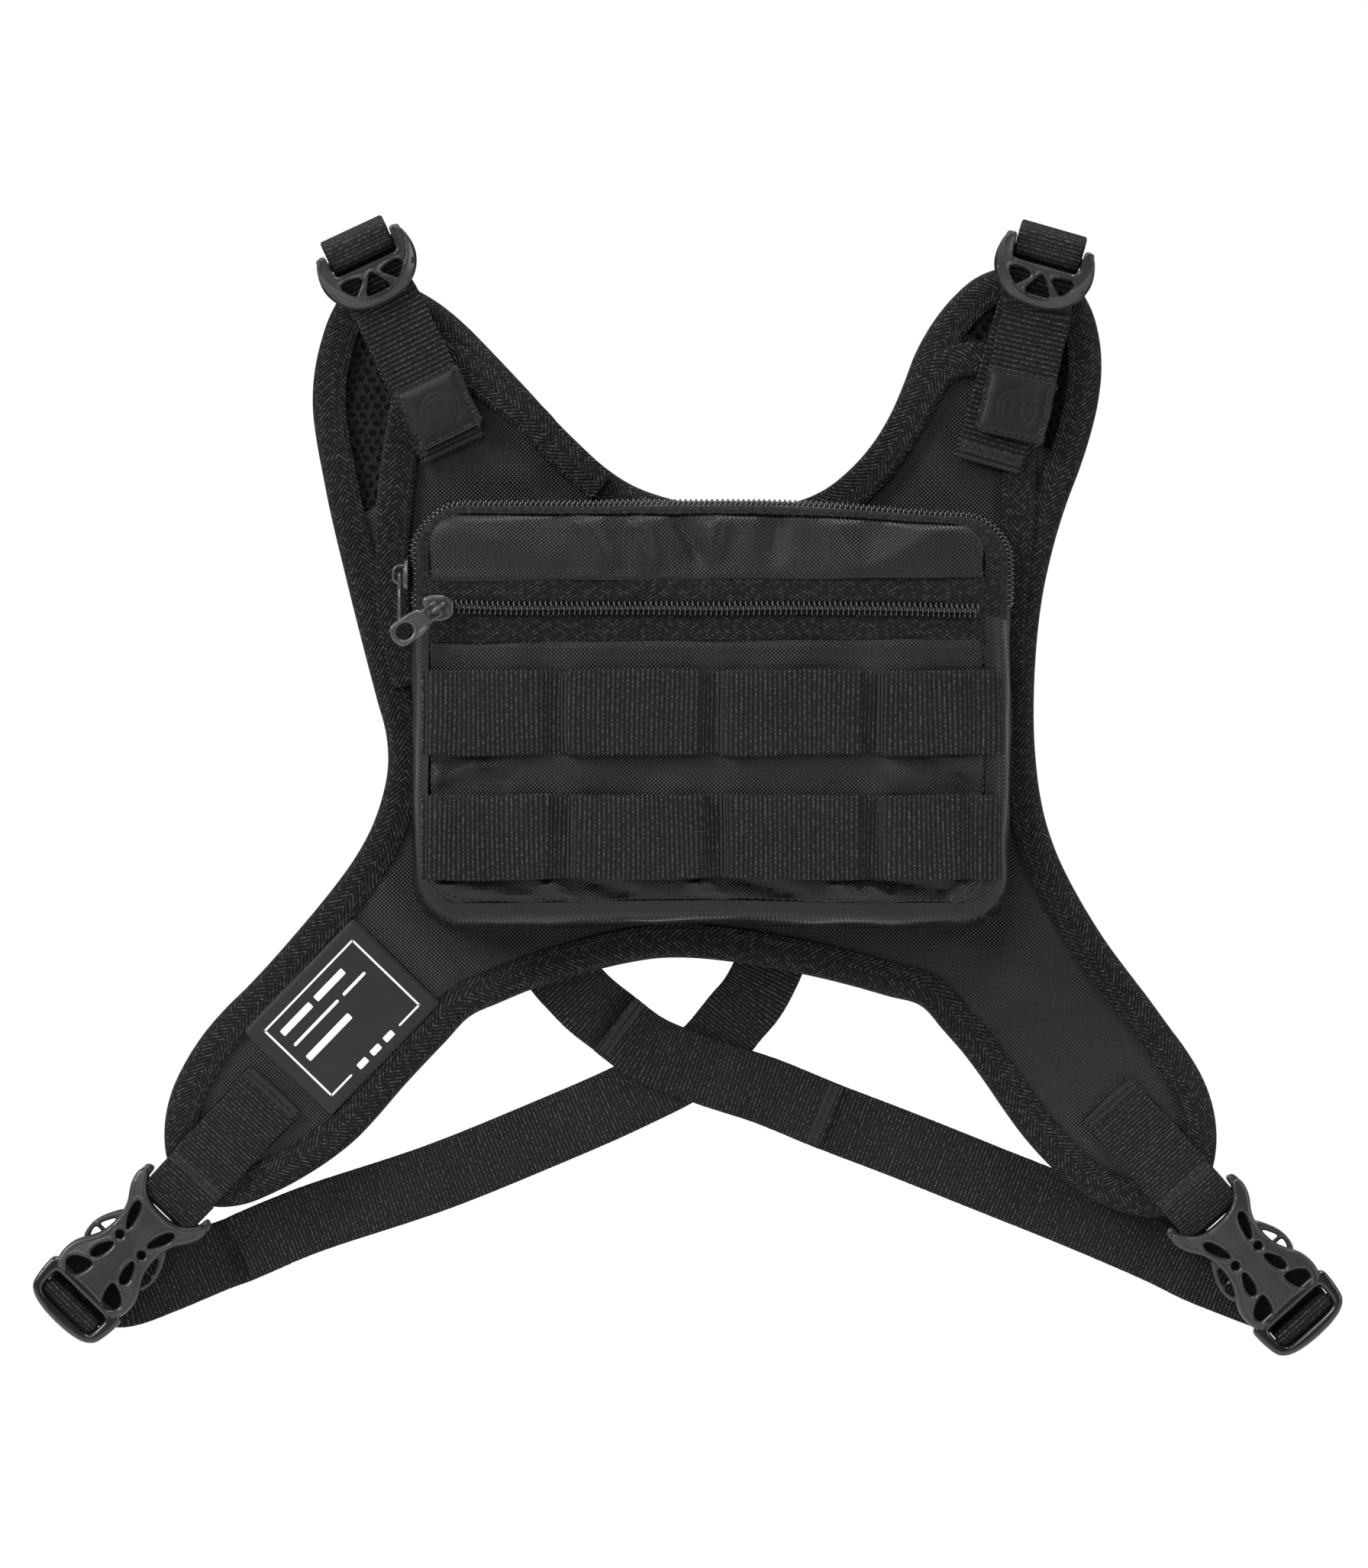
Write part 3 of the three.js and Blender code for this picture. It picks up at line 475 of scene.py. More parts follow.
def plate(name, loops, step, top, under, local=None, relax=6):
    """A closed piece from its outline and holes; top and under give its faces' heights from
    (x, y, distance in from the rim)."""
    loops = [np.asarray(loop, float) for loop in loops]
    low, high = loops[0].min(0) - step, loops[0].max(0) + step
    nx, ny = (np.ceil((high - low) / step)).astype(int)
    gx, gy = np.meshgrid(np.arange(nx), np.arange(ny), indexing="ij")
    centres = low + (np.stack([gx, gy], 2).reshape(-1, 2) + 0.5) * step
    kept = inside(centres, loops).reshape(nx, ny)
    # A vertex where only two opposite cells meet would pinch the surface.
    for i, j in np.argwhere(kept[:-1, :-1] & kept[1:, 1:] & ~kept[1:, :-1] & ~kept[:-1, 1:]):
        kept[i, j] = False
    for i, j in np.argwhere(~kept[:-1, :-1] & ~kept[1:, 1:] & kept[1:, :-1] & kept[:-1, 1:]):
        kept[i + 1, j] = False
    cells = np.argwhere(kept)
    stride = ny + 1
    quads = np.stack([
        cells[:, 0] * stride + cells[:, 1],
        (cells[:, 0] + 1) * stride + cells[:, 1],
        (cells[:, 0] + 1) * stride + cells[:, 1] + 1,
        cells[:, 0] * stride + cells[:, 1] + 1,
    ], axis=1)
    used, quads = np.unique(quads, return_inverse=True)
    quads = quads.reshape(-1, 4)
    points = low + np.stack([used // stride, used % stride], 1) * step
    edges = {}
    for quad in quads:
        for a, b in zip(quad, np.roll(quad, -1)):
            edges[(a, b)] = True
    rim = [(a, b) for a, b in edges if (b, a) not in edges]
    on_rim = np.zeros(len(points), bool)
    on_rim[[a for a, _ in rim]] = True
    dense = np.vstack([spaced(loop, step / 5, closed=True) for loop in loops])
    tree = tree_of(dense)
    for i in np.flatnonzero(on_rim):
        points[i] = tree.find((*points[i], 0))[0][:2]
    neighbours = np.array([(a, b) for a, b in edges])
    for _ in range(relax):
        total, count = np.zeros_like(points), np.zeros(len(points))
        for a, b in (neighbours.T, neighbours.T[::-1]):
            np.add.at(total, a, points[b])
            np.add.at(count, a, 1)
        free = ~on_rim
        points[free] = 0.5 * points[free] + 0.5 * (total / count[:, None])[free]
    distance = np.array([tree.find((*p, 0))[2] for p in points])
    distance[on_rim] = 0
    n = len(points)
    upper = np.column_stack([points, top(points[:, 0], points[:, 1], distance)])
    lower = np.column_stack([points, under(points[:, 0], points[:, 1], distance)])
    faces = [tuple(q) for q in quads.tolist()]
    faces += [tuple(n + i for i in reversed(q)) for q in quads.tolist()]
    faces += [(b, a, n + a, n + b) for a, b in rim]
    both = np.vstack([upper, lower])
    uv = np.vstack([points, points])
    if local is not None:
        both = local.points(both)
    return piece_from(name, both, faces, uv)


def capsules(name, centres, along, out, length, radius):
    """Many small thread stitches as one mesh."""
    centres, along, out = (np.asarray(a, float) for a in (centres, along, out))
    side = np.cross(out, along)
    lengthwise = [(-1.0, 0.0), (-0.7, 0.75), (0.0, 1.0), (0.7, 0.75), (1.0, 0.0)]
    turns = np.linspace(0, TURN, 6, endpoint=False)
    shape = [(u, w * math.cos(a), w * math.sin(a)) for u, w in lengthwise[1:-1] for a in turns]
    shape = np.array([(-1.0, 0, 0), *shape, (1.0, 0, 0)])
    ring = [tuple(1 + v for v in quad) for quad in ring_faces(3, 6)]
    caps = [(0, 1 + (j + 1) % 6, 1 + j) for j in range(6)]
    caps += [(19, 13 + j, 13 + (j + 1) % 6) for j in range(6)]
    local = shape * np.array([length / 2, radius, radius])
    points = (
        centres[:, None]
        + along[:, None] * local[None, :, :1]
        + side[:, None] * local[None, :, 1:2]
        + out[:, None] * local[None, :, 2:]
    ).reshape(-1, 3)
    faces = [tuple(i * 20 + k for k in f) for i in range(len(centres)) for f in ring + caps]
    return piece_from(name, points, faces)


def seam(name, line, out=OUT, pitch=2.6, length=2.0, radius=0.22):
    """A row of stitches along a line."""
    row = spaced(np.asarray(line, float), pitch)
    along = directions(row)
    out = np.broadcast_to(out, row.shape)
    out = out - along * np.sum(out * along, axis=1, keepdims=True)
    out = out / np.linalg.norm(out, axis=1, keepdims=True)
    return capsules(name, row, along, out, length, radius)


def bar_tack(name, start, end, out=OUT, rows=3, depth=2.4, pitch=0.55, radius=0.24):
    """Dense stitching across a strap, from one edge to the other."""
    start, end = np.asarray(start, float), np.asarray(end, float)
    run = end - start
    size = np.linalg.norm(run)
    run /= size
    aside = np.cross(out, run)
    centres = [
        start + run * s + aside * ((r - (rows - 1) / 2) * depth)
        for r in range(rows)
        for s in np.arange(pitch, size - pitch / 2, pitch)
    ]
    lean = aside * 0.93 + run * 0.36
    return capsules(name, centres, [lean] * len(centres), [out] * len(centres), depth * 0.9, radius)


def coil(name, line, side, out, half, height, pitch=1.9, radius=0.46):
    """A closed zip coil: loops from both edges that meet along the middle."""
    row = spaced(np.hstack([line, side, out]), pitch / 2)
    line, side, out = row[:, :3], row[:, 3:6], row[:, 6:]
    along = directions(line)
    hand = np.where(np.arange(len(line)) % 2, 1.0, -1.0)
    arch = np.array([(-1.0, 0.1), (-0.97, 0.5), (-0.72, 0.86), (-0.25, 1.0), (0.1, 0.92), (0.24, 0.4)])
    turns = np.linspace(0, TURN, 7, endpoint=False)
    tangents = directions(arch)
    shape = []
    for (u, w), (tu, tw) in zip(arch, tangents):
        for a in turns:
            shape.append((
                math.cos(a) * radius + 0.25 * u * radius,
                u * half - tw * math.sin(a) * radius,
                w * height + tu * math.sin(a) * radius,
            ))
    shape = np.array(shape)
    faces = capped_faces(len(arch), len(turns))
    points, found = [], []
    for i in range(len(line)):
        local = shape * np.array([1.0, hand[i], 1.0])
        points.append(line[i] + np.outer(local[:, 0], along[i]) + np.outer(local[:, 1], side[i])
                      + np.outer(local[:, 2], out[i]))
        turned = faces if hand[i] > 0 else [tuple(reversed(f)) for f in faces]
        found += [tuple(i * len(shape) + k for k in f) for f in turned]
    return piece_from(name, np.vstack(points), found)


# ---- Shader helpers ----
def link(tree, source, socket):
    if hasattr(source, "is_output"):
        tree.links.new(source, socket)
    else:
        socket.default_value = source


def calc(tree, operation, *values):
    node = tree.nodes.new("ShaderNodeMath")
    node.operation = operation
    for value, socket in zip(values, node.inputs):
        link(tree, value, socket)
    return node.outputs[0]


def times(tree, a, b):
    return calc(tree, "MULTIPLY", a, b)


def plus(tree, a, b):
    return calc(tree, "ADD", a, b)


def minus(tree, a, b):
    return calc(tree, "SUBTRACT", a, b)


def ranged(tree, value, low, high, to_low=0.0, to_high=1.0):
    node = tree.nodes.new("ShaderNodeMapRange")
    for name, given in zip(("Value", "From Min", "From Max", "To Min", "To Max"),
                           (value, low, high, to_low, to_high)):
        link(tree, given, node.inputs[name])
    return node.outputs[0]


def split(tree, vector):
    node = tree.nodes.new("ShaderNodeSeparateXYZ")
    link(tree, vector, node.inputs[0])
    return node.outputs


def noisy(tree, vector, scale, detail=2.0):
    node = tree.nodes.new("ShaderNodeTexNoise")
    link(tree, vector, node.inputs["Vector"])
    node.inputs["Scale"].default_value = scale
    node.inputs["Detail"].default_value = detail
    return node.outputs["Fac"]


def blended(tree, factor, dark, light):
    node = tree.nodes.new("ShaderNodeMix")
    node.data_type = "RGBA"
    link(tree, factor, node.inputs["Factor"])
    link(tree, dark, node.inputs["A"])
    link(tree, light, node.inputs["B"])
    return node.outputs["Result"]


def stretched(tree, vector, scale):
    node = tree.nodes.new("ShaderNodeVectorMath")
    node.operation = "MULTIPLY"
    link(tree, vector, node.inputs[0])
    node.inputs[1].default_value = scale
    return node.outputs[0]


def group(name, inputs, outputs, build):
    """A shader node group; `build` takes its tree and its input sockets and returns its outputs."""
    tree = bpy.data.node_groups.new(name, "ShaderNodeTree")
    for label, kind, value in inputs:
        socket = tree.interface.new_socket(name=label, in_out="INPUT", socket_type=kind)
        if value is not None:
            socket.default_value = value
    for label, kind in outputs:
        tree.interface.new_socket(name=label, in_out="OUTPUT", socket_type=kind)
    start = tree.nodes.new("NodeGroupInput")
    end = tree.nodes.new("NodeGroupOutput")
    for (label, _), value in zip(outputs, build(tree, start.outputs)):
        tree.links.new(value, end.inputs[label])
    return tree


def wave(tree, value, pitch):
    """0 to 1 and back once every pitch."""
    turned = times(tree, calc(tree, "DIVIDE", value, pitch), TURN)
    return calc(tree, "MULTIPLY_ADD", calc(tree, "COSINE", turned), -0.5, 0.5)


def build_webbing(tree, given):
    """Ribs across the strap, each a row of thread ends, with a mask of painted highlights on the threads
    along each rib's crest; uv in millimetres.
    """
    u, v, _ = split(tree, given["Place"])
    ribs = wave(tree, v, given["Pitch"])
    threads = wave(tree, u, 0.74)
    glint = times(tree, calc(tree, "POWER", ribs, 3.0), calc(tree, "POWER", threads, 1.5))
    patchy = ranged(tree, noisy(tree, given["Place"], 0.85, 2.0), 0.46, 0.64)
    glint = times(tree, glint, calc(tree, "MULTIPLY_ADD", patchy, 0.86, 0.14))
    height = plus(tree, times(tree, ribs, 0.75), times(tree, threads, 0.25))
    return height, glint


def build_twill(tree, given):
    """Herringbone tape: slanted ridges that turn back at each column, with a mask of painted highlights on
    the threads along each ridge.
    """
    u, v, _ = split(tree, given["Place"])
    zigzag = calc(tree, "PINGPONG", u, given["Column"])
    slant = plus(tree, v, times(tree, zigzag, 1.15))
    ridge = wave(tree, slant, given["Ridge"])
    thread = wave(tree, minus(tree, times(tree, v, 0.8), zigzag), 0.8)
    glint = times(tree, calc(tree, "POWER", ridge, 2.5), calc(tree, "POWER", thread, 3.0))
    patchy = ranged(tree, noisy(tree, given["Place"], 0.5, 2.0), 0.47, 0.62)
    glint = times(tree, glint, calc(tree, "MULTIPLY_ADD", patchy, 0.85, 0.15))
    height = plus(tree, times(tree, ridge, 0.7), times(tree, thread, 0.3))
    return height, glint


def build_weave(tree, given):
    """Plain weave on a slant, with faint stretched bands of painted sheen."""
    x, y, z = split(tree, given["Place"])
    a = plus(tree, x, z)
    b = minus(tree, plus(tree, z, times(tree, y, 0.5)), x)
    over = times(tree, wave(tree, a, 1.5), wave(tree, b, 1.5))
    sheen_bands = ranged(tree, noisy(tree, stretched(tree, given["Place"], (0.02, 0.02, 0.9)), 1.0, 3.0), 0.3, 0.7)
    return over, sheen_bands


def build_mesh(tree, given):
    """Spacer mesh: rows of round openings in a knitted face."""
    x, _, z = split(tree, given["Place"])
    drift = times(tree, noisy(tree, given["Place"], 0.14, 1.0), 4.0)
    x = plus(tree, x, drift)
    z = minus(tree, z, drift)
    size = 3.7
    row = calc(tree, "DIVIDE", z, size * 0.86)
    odd = times(tree, calc(tree, "MODULO", calc(tree, "FLOOR", calc(tree, "ABSOLUTE", row)), 2.0), 0.5)
    du = minus(tree, calc(tree, "FRACT", plus(tree, calc(tree, "DIVIDE", x, size), odd)), 0.5)
    dv = times(tree, minus(tree, calc(tree, "FRACT", row), 0.5), 0.86)
    away = calc(tree, "SQRT", plus(tree, times(tree, du, du), times(tree, dv, dv)))
    wobble = times(tree, minus(tree, noisy(tree, given["Place"], 0.45, 1.0), 0.5), 0.5)
    rim = ranged(tree, plus(tree, away, wobble), 0.22, 0.38)
    knit = times(tree, wave(tree, x, 0.55), wave(tree, z, 0.7))
    return rim, plus(tree, rim, times(tree, times(tree, knit, rim), 0.25))


def build_wear(tree, given):
    """Handling marks and dust: soft clouds and a few fine specks."""
    soft = ranged(tree, noisy(tree, given["Place"], 0.045, 3.0), 0.3, 0.7)
    lint = ranged(tree, noisy(tree, given["Place"], 1.7, 1.0), 0.74, 0.8)
    return soft, lint


WEBBING = group("webbing ribs", [("Place", VECTOR, None), ("Pitch", FLOAT, 1.4)],
                [("Height", FLOAT), ("Glint", FLOAT)], build_webbing)
TWILL = group("herringbone", [("Place", VECTOR, None), ("Column", FLOAT, 4.4), ("Ridge", FLOAT, 2.0)],
              [("Height", FLOAT), ("Glint", FLOAT)], build_twill)
WEAVE = group("plain weave", [("Place", VECTOR, None)], [("Height", FLOAT), ("Sheen", FLOAT)], build_weave)
AIR_MESH = group("air mesh", [("Place", VECTOR, None)], [("Rim", FLOAT), ("Height", FLOAT)], build_mesh)
WEAR = group("wear", [("Place", VECTOR, None)], [("Clouds", FLOAT), ("Lint", FLOAT)], build_wear)


def placed_group(tree, made, place, **values):
    node = tree.nodes.new("ShaderNodeGroup")
    node.node_tree = made
    link(tree, place, node.inputs["Place"])
    for name, value in values.items():
        node.inputs[name].default_value = value
    return node.outputs


def grey(value, warmth=0.0):
    return (value * (1 + warmth), value, value * (1 - warmth * 0.6), 1.0)


def material(name, roughness, build, **fixed):
    """A material; `build` takes the tree and its two places, on the piece and on the cloth, in
    millimetres, and returns colour, roughness (or None), bump height and the bump's depth in mm."""
    made = bpy.data.materials.new(name)
    made.use_nodes = True
    tree = made.node_tree
    shader = tree.nodes["Principled BSDF"]
    shader.inputs["Roughness"].default_value = roughness
    for label, value in fixed.items():
        shader.inputs[label.replace("_", " ")].default_value = value
    coordinates = tree.nodes.new("ShaderNodeTexCoord")
    body = stretched(tree, coordinates.outputs["Object"], (1000.0, 1000.0, 1000.0))
    cloth = stretched(tree, coordinates.outputs["UV"], (100.0, 100.0, 0.0))
    colour, rough, height, depth = build(tree, body, cloth)
    link(tree, colour, shader.inputs["Base Color"])
    if rough is not None:
        link(tree, rough, shader.inputs["Roughness"])
    if height is not None:
        bump = tree.nodes.new("ShaderNodeBump")
        bump.inputs["Strength"].default_value = 1.0
        bump.inputs["Distance"].default_value = depth * MM
        link(tree, height, bump.inputs["Height"])
        tree.links.new(bump.outputs[0], shader.inputs["Normal"])
    return made


def cloth_of(pattern, dark, light, depth, **values):
    def build(tree, body, cloth):
        height, glint = placed_group(tree, pattern, cloth, **values)
        clouds, lint = placed_group(tree, WEAR, body)
        ground = blended(tree, clouds, grey(dark * 0.8), grey(dark * 1.2))
        # Painted highlights: the thread glints are mixed in as a pale grey.
        ground = blended(tree, glint, ground, grey(light, 0.03))
        colour = blended(tree, times(tree, lint, 0.25), ground, grey(0.10))
        return colour, ranged(tree, glint, 0.0, 1.0, 0.85, 0.5), height, depth
    return build


def nylon_build(tree, body, cloth):
    height, sheen_bands = placed_group(tree, WEAVE, body)
    clouds, lint = placed_group(tree, WEAR, body)
    # Painted shade and highlight: darker in the weave's hollows, lighter on its raised threads.
    ground = blended(tree, calc(tree, "POWER", height, 1.5), grey(0.0015), grey(0.026, 0.02))
    # Painted sheen: faint streaks pull the colour towards a middle grey.
    ground = blended(tree, times(tree, sheen_bands, 0.2), ground, grey(0.014))
    colour = blended(tree, times(tree, lint, 0.12), ground, grey(0.10))
    return colour, ranged(tree, clouds, 0.0, 1.0, 0.3, 0.4), height, 0.22


def air_build(tree, body, cloth):
    rim, height = placed_group(tree, AIR_MESH, body)
    clouds, lint = placed_group(tree, WEAR, body)
    threads = blended(tree, clouds, grey(0.006), grey(0.011))
    threads = blended(tree, times(tree, lint, 0.3), threads, grey(0.10))
    # Painted shade: the mesh's openings are painted near black for the shade inside them.
    return blended(tree, rim, grey(0.0012), threads), ranged(tree, rim, 0.0, 1.0, 1.0, 0.72), height, 0.9


def plastic_build(tree, body, cloth):
    clouds, lint = placed_group(tree, WEAR, body)
    grain = noisy(tree, body, 2.6, 3.0)
    colour = blended(tree, clouds, grey(0.015), grey(0.02))
    colour = blended(tree, times(tree, lint, 0.1), colour, grey(0.08))
    worn = plus(tree, times(tree, grain, 0.3), clouds)
    return colour, ranged(tree, worn, 0.0, 1.3, 0.27, 0.4), grain, 0.018


def gloss_build(tree, body, cloth):
    clouds = placed_group(tree, WEAR, body)[0]
    colour = blended(tree, clouds, grey(0.006), grey(0.009))
    return colour, ranged(tree, clouds, 0.0, 1.0, 0.18, 0.26), noisy(tree, body, 1.8), 0.01


# Painted shade: near-black colour for the sheet behind the socket's holes.
def hole_shade_build(tree, body, cloth):
    clouds = placed_group(tree, WEAR, body)[0]
    return blended(tree, clouds, grey(0.002), grey(0.004)), None, None, 0.0


def coil_build(tree, body, cloth):
    clouds, lint = placed_group(tree, WEAR, body)
    return blended(tree, lint, grey(0.006), grey(0.05)), ranged(tree, clouds, 0.0, 1.0, 0.16, 0.24), None, 0.0


def metal_build(tree, body, cloth):
    clouds = placed_group(tree, WEAR, body)[0]
    scratches = noisy(tree, stretched(tree, body, (3.0, 3.0, 0.5)), 1.4, 4.0)
    colour = blended(tree, clouds, grey(0.055), grey(0.085))
    return colour, ranged(tree, scratches, 0.3, 0.7, 0.26, 0.42), scratches, 0.015


def leather_build(tree, body, cloth):
    clouds = placed_group(tree, WEAR, body)[0]
    pebble = noisy(tree, body, 1.3, 4.0)
    colour = blended(tree, clouds, grey(0.005), grey(0.008))
    return colour, ranged(tree, pebble, 0.3, 0.7, 0.36, 0.5), pebble, 0.05


def satin_build(tree, body, cloth):
    lines = wave(tree, split(tree, cloth)[1], 0.45)
    clouds = placed_group(tree, WEAR, body)[0]
    colour = blended(tree, times(tree, lines, clouds), grey(0.007), grey(0.012))
    return colour, ranged(tree, lines, 0.0, 1.0, 0.5, 0.62), lines, 0.03


def white_build(tree, body, cloth):
    threads = wave(tree, plus(tree, split(tree, body)[0], split(tree, body)[2]), 0.5)
    return blended(tree, threads, grey(0.62), grey(0.85)), None, threads, 0.05


def thread_build(tree, body, cloth):
    twist = noisy(tree, body, 3.0)
    return blended(tree, twist, grey(0.006), grey(0.03)), None, twist, 0.03


CLOTH = {"Specular_IOR_Level": 0.14}
NYLON = material("coated_nylon", 0.36, nylon_build, Specular_IOR_Level=0.24)
# The third number given to cloth_of is the grey of the painted thread highlights.
WEB_COARSE = material("webbing_coarse", 0.7, cloth_of(WEBBING, 0.006, 0.13, 0.34, Pitch=1.85), **CLOTH)
WEB_FINE = material("webbing_fine", 0.7, cloth_of(WEBBING, 0.007, 0.14, 0.34, Pitch=1.38), **CLOTH)
WEB_ROW = material("webbing_rows", 0.7, cloth_of(WEBBING, 0.007, 0.13, 0.34, Pitch=1.74), **CLOTH)
BINDING = material("binding_tape", 0.75, cloth_of(TWILL, 0.005, 0.2, 0.55, Column=5.0, Ridge=1.9), **CLOTH)
KNIT = material("zip_tape", 0.8, cloth_of(TWILL, 0.005, 0.16, 0.4, Column=1.2, Ridge=1.5), **CLOTH)
AIR = material("spacer_mesh", 0.8, air_build, Specular_IOR_Level=0.2)
PLASTIC = material("moulded_plastic", 0.35, plastic_build, Specular_IOR_Level=0.45)
COIL = material("zip_coil", 0.25, coil_build, Specular_IOR_Level=0.55)
METAL = material("lacquered_metal", 0.32, metal_build, Metallic=0.6)
LEATHER = material("patch_leather", 0.42, leather_build, Specular_IOR_Level=0.28)
GLOSS = material("glossy_plastic", 0.22, gloss_build, Specular_IOR_Level=0.5)
HOLE_SHADE = material("painted_hole_shade", 0.9, hole_shade_build, Specular_IOR_Level=0.05)
SATIN = material("label_satin", 0.55, satin_build, Specular_IOR_Level=0.3)
WHITE = material("label_white", 0.7, white_build, Specular_IOR_Level=0.2)
THREAD = material("thread", 0.5, thread_build, Specular_IOR_Level=0.4)


# ---- The padded vest ----
PAD_BACK, PAD_FRONT = level("vest_back_pad")
PANEL_FRONT = level("vest_front_panel")[1]
TRIM_Z = PANEL_FRONT + GAP
OVER_TRIM_Z = TRIM_Z + TAPE + GAP
PAD_LINE = outline("pad_edge_binding", 3.0, (175.7, -87.4))
LIP = 12.0
PAD_IN = 1.6
PAD_SWELL = 0.9


def make_pad():
    loop = inset(PAD_LINE, PAD_IN + 0.6)
    pad = plate(
        "pad", [loop], 4.6,
        face(PAD_FRONT - PAD_SWELL, 2.4), face(PAD_BACK + PAD_SWELL + 0.1, 2.4, -1),
    )
    before = None
    apply_modifier(pad, "REMESH", mode="VOXEL", voxel_size=4.4 * MM)
    before = np.array([v.co for v in pad.data.vertices])
    cushion = pad.modifiers.new("cloth", "CLOTH")
    cushion.settings.use_pressure = True
    cushion.settings.uniform_pressure_force = 4.0
    cushion.settings.effector_weights.gravity = 0.0
    cushion.settings.tension_stiffness = 20
    scene = bpy.context.scene
    for step in range(1, 13):
        scene.frame_set(step)
    make_active(pad)
    bpy.ops.object.modifier_apply(modifier=cushion.name)
    scene.frame_set(1)
    after = np.array([v.co for v in pad.data.vertices])
    shift = after - before
    far = np.linalg.norm(shift, axis=1, keepdims=True)
    after = before + shift * np.minimum(1, PAD_SWELL * MM / np.maximum(far, 1e-9))
    pad.data.vertices.foreach_set("co", after.ravel())
    apply_modifier(pad, "SUBSURF", levels=1, render_levels=1)
    done(pad, AIR, replaces=["vest_back_pad"])


def make_pad_binding():
    """Tape folded round the pad's edge; its two lips lie on the front and on the back."""
    front, back = TRIM_Z, PAD_BACK - GAP
    middle = (front + back) / 2
    outer = [(LIP, front + 0.75), (LIP * 0.6, front + 1.15), (3.4, front + 1.15), (1.0, front - 0.3),
             (0.05, middle + 2), (0.05, middle - 2), (1.0, back + 0.4), (3.4, back - 0.95),
             (LIP * 0.6, back - 1.0), (LIP, back - 0.7)]
    outer = curve([(a, b, 0) for a, b in outer], 1.15)[:, :2]
    tangent = directions(outer)
    inner = outer + np.column_stack([-tangent[:, 1], tangent[:, 0]]) * TAPE
    along = run_of(outer)
    cut = np.vstack([outer, inner[::-1]])
    width = np.concatenate([along, along[::-1]])
    loop = spaced(PAD_LINE, 1.5, closed=True)
    normal = directions(loop, closed=True)
    normal = np.column_stack([-normal[:, 1], normal[:, 0]])
    run = np.arange(len(loop)) * 1.5
    pucker = 0.16 * np.sin(run / 7.4 * TURN + 2 * np.sin(run / 61.0)) + 0.22 * cloud(loop, 14.0, 3.0)
    lifted = smoothstep(0.0, 6.0, cut[:, 0])
    outwards = np.where(cut[:, 1] > middle, 1.0, -0.4) * lifted
    points = np.concatenate([
        loop[:, None, :] + normal[:, None, :] * cut[None, :, :1],
        (cut[None, :, 1:] + (pucker[:, None] * outwards[None, :])[:, :, None]),
    ], axis=2).reshape(-1, 3)
    uv = np.stack(np.broadcast_arrays(width[None, :], run[:, None]), axis=2).reshape(-1, 2)
    piece = piece_from("pad_binding", points, ring_faces(len(loop), len(cut), closed=True), uv)
    bmesh_outward(piece)
    done(piece, BINDING, replaces=["pad_edge_binding"])
    thread = np.column_stack([inset(PAD_LINE, LIP - 1.9), np.full(len(PAD_LINE), front + 1.1)])
    behind = np.column_stack([inset(PAD_LINE, LIP - 1.9), np.full(len(PAD_LINE), back - 1.05)])
    stitches = joined("binding_stitches", [seam("front", thread), seam("back", behind, -OUT)])
    done(stitches, THREAD)


def bmesh_outward(piece):
    """Turns a closed piece's faces outwards."""
    mesh = bmesh.new()
    mesh.from_mesh(piece.data)
    bmesh.ops.recalc_face_normals(mesh, faces=mesh.faces)
    if mesh.calc_volume(signed=True) < 0:
        bmesh.ops.reverse_faces(mesh, faces=mesh.faces)
    mesh.to_mesh(piece.data)
    mesh.free()


PANEL_FOLDS = [
    (128, -52, 96, -92, 9, 1.0), (122, -84, 150, -104, 10, -0.7), (100, -58, 132, -72, 6, 0.8),
    (-112, -36, -86, -70, 8, 0.9), (-98, -88, -70, -70, 7, 0.8), (-150, -112, -120, -124, 8, -0.5),
    (-92, 116, -60, 112, 6, 0.6), (-78, 130, -62, 104, 6, -0.5), (96, 112, 116, 92, 7, 0.6),
    (84, 132, 112, 118, 7, -0.5), (150, -128, 168, -112, 8, 0.6), (-60, -62, 20, -58, 4, 0.5),
]


def make_panel():
    loop = outline("vest_front_panel", 2.5, (86.6, -79.6))
    rim = tree_of(PAD_LINE)
    for i, (x, y) in enumerate(loop):
        near, _, far = rim.find((x, y, 0))
        if 5.0 < far < (19.5 if abs(x) < 60 else 16.5):
            loop[i] = np.array(near[:2]) + (loop[i] - np.array(near[:2])) * 6.0 / far
    loop = curve(loop, 2.5, closed=True)

    def top(x, y, d):
        puckers = 0.35 * cloud(np.column_stack([x, y]), 7.0, 2.0) * smoothstep(22, 6, d)
        calm = smoothstep(6, 15, d)
        rise = folds(x, y, PANEL_FOLDS) * calm
        return PANEL_FRONT - 0.25 + np.clip(puckers * calm, -0.3, 0.3) + rise - edge_drop(d, 0.5)

    panel = plate("front_panel", [loop], 2.6, top, lambda x, y, d: top(x, y, d) - 0.9)
    done(panel, NYLON, replaces=["vest_front_panel"])
    area(loop) * MM**2


def inner_edge(start, end):
    """The middle of the pad's tape between the places nearest to two points."""
    loop = inset(PAD_LINE, 6.4)
    first, last = (int(np.argmin(np.linalg.norm(loop - np.array(p), axis=1))) for p in (start, end))
    hand = 1 if (last - first) % len(loop) < len(loop) / 2 else -1
    count = ((last - first) * hand) % len(loop)
    return [tuple(loop[(first + i * hand) % len(loop)]) for i in range(0, count + 1, 4)]


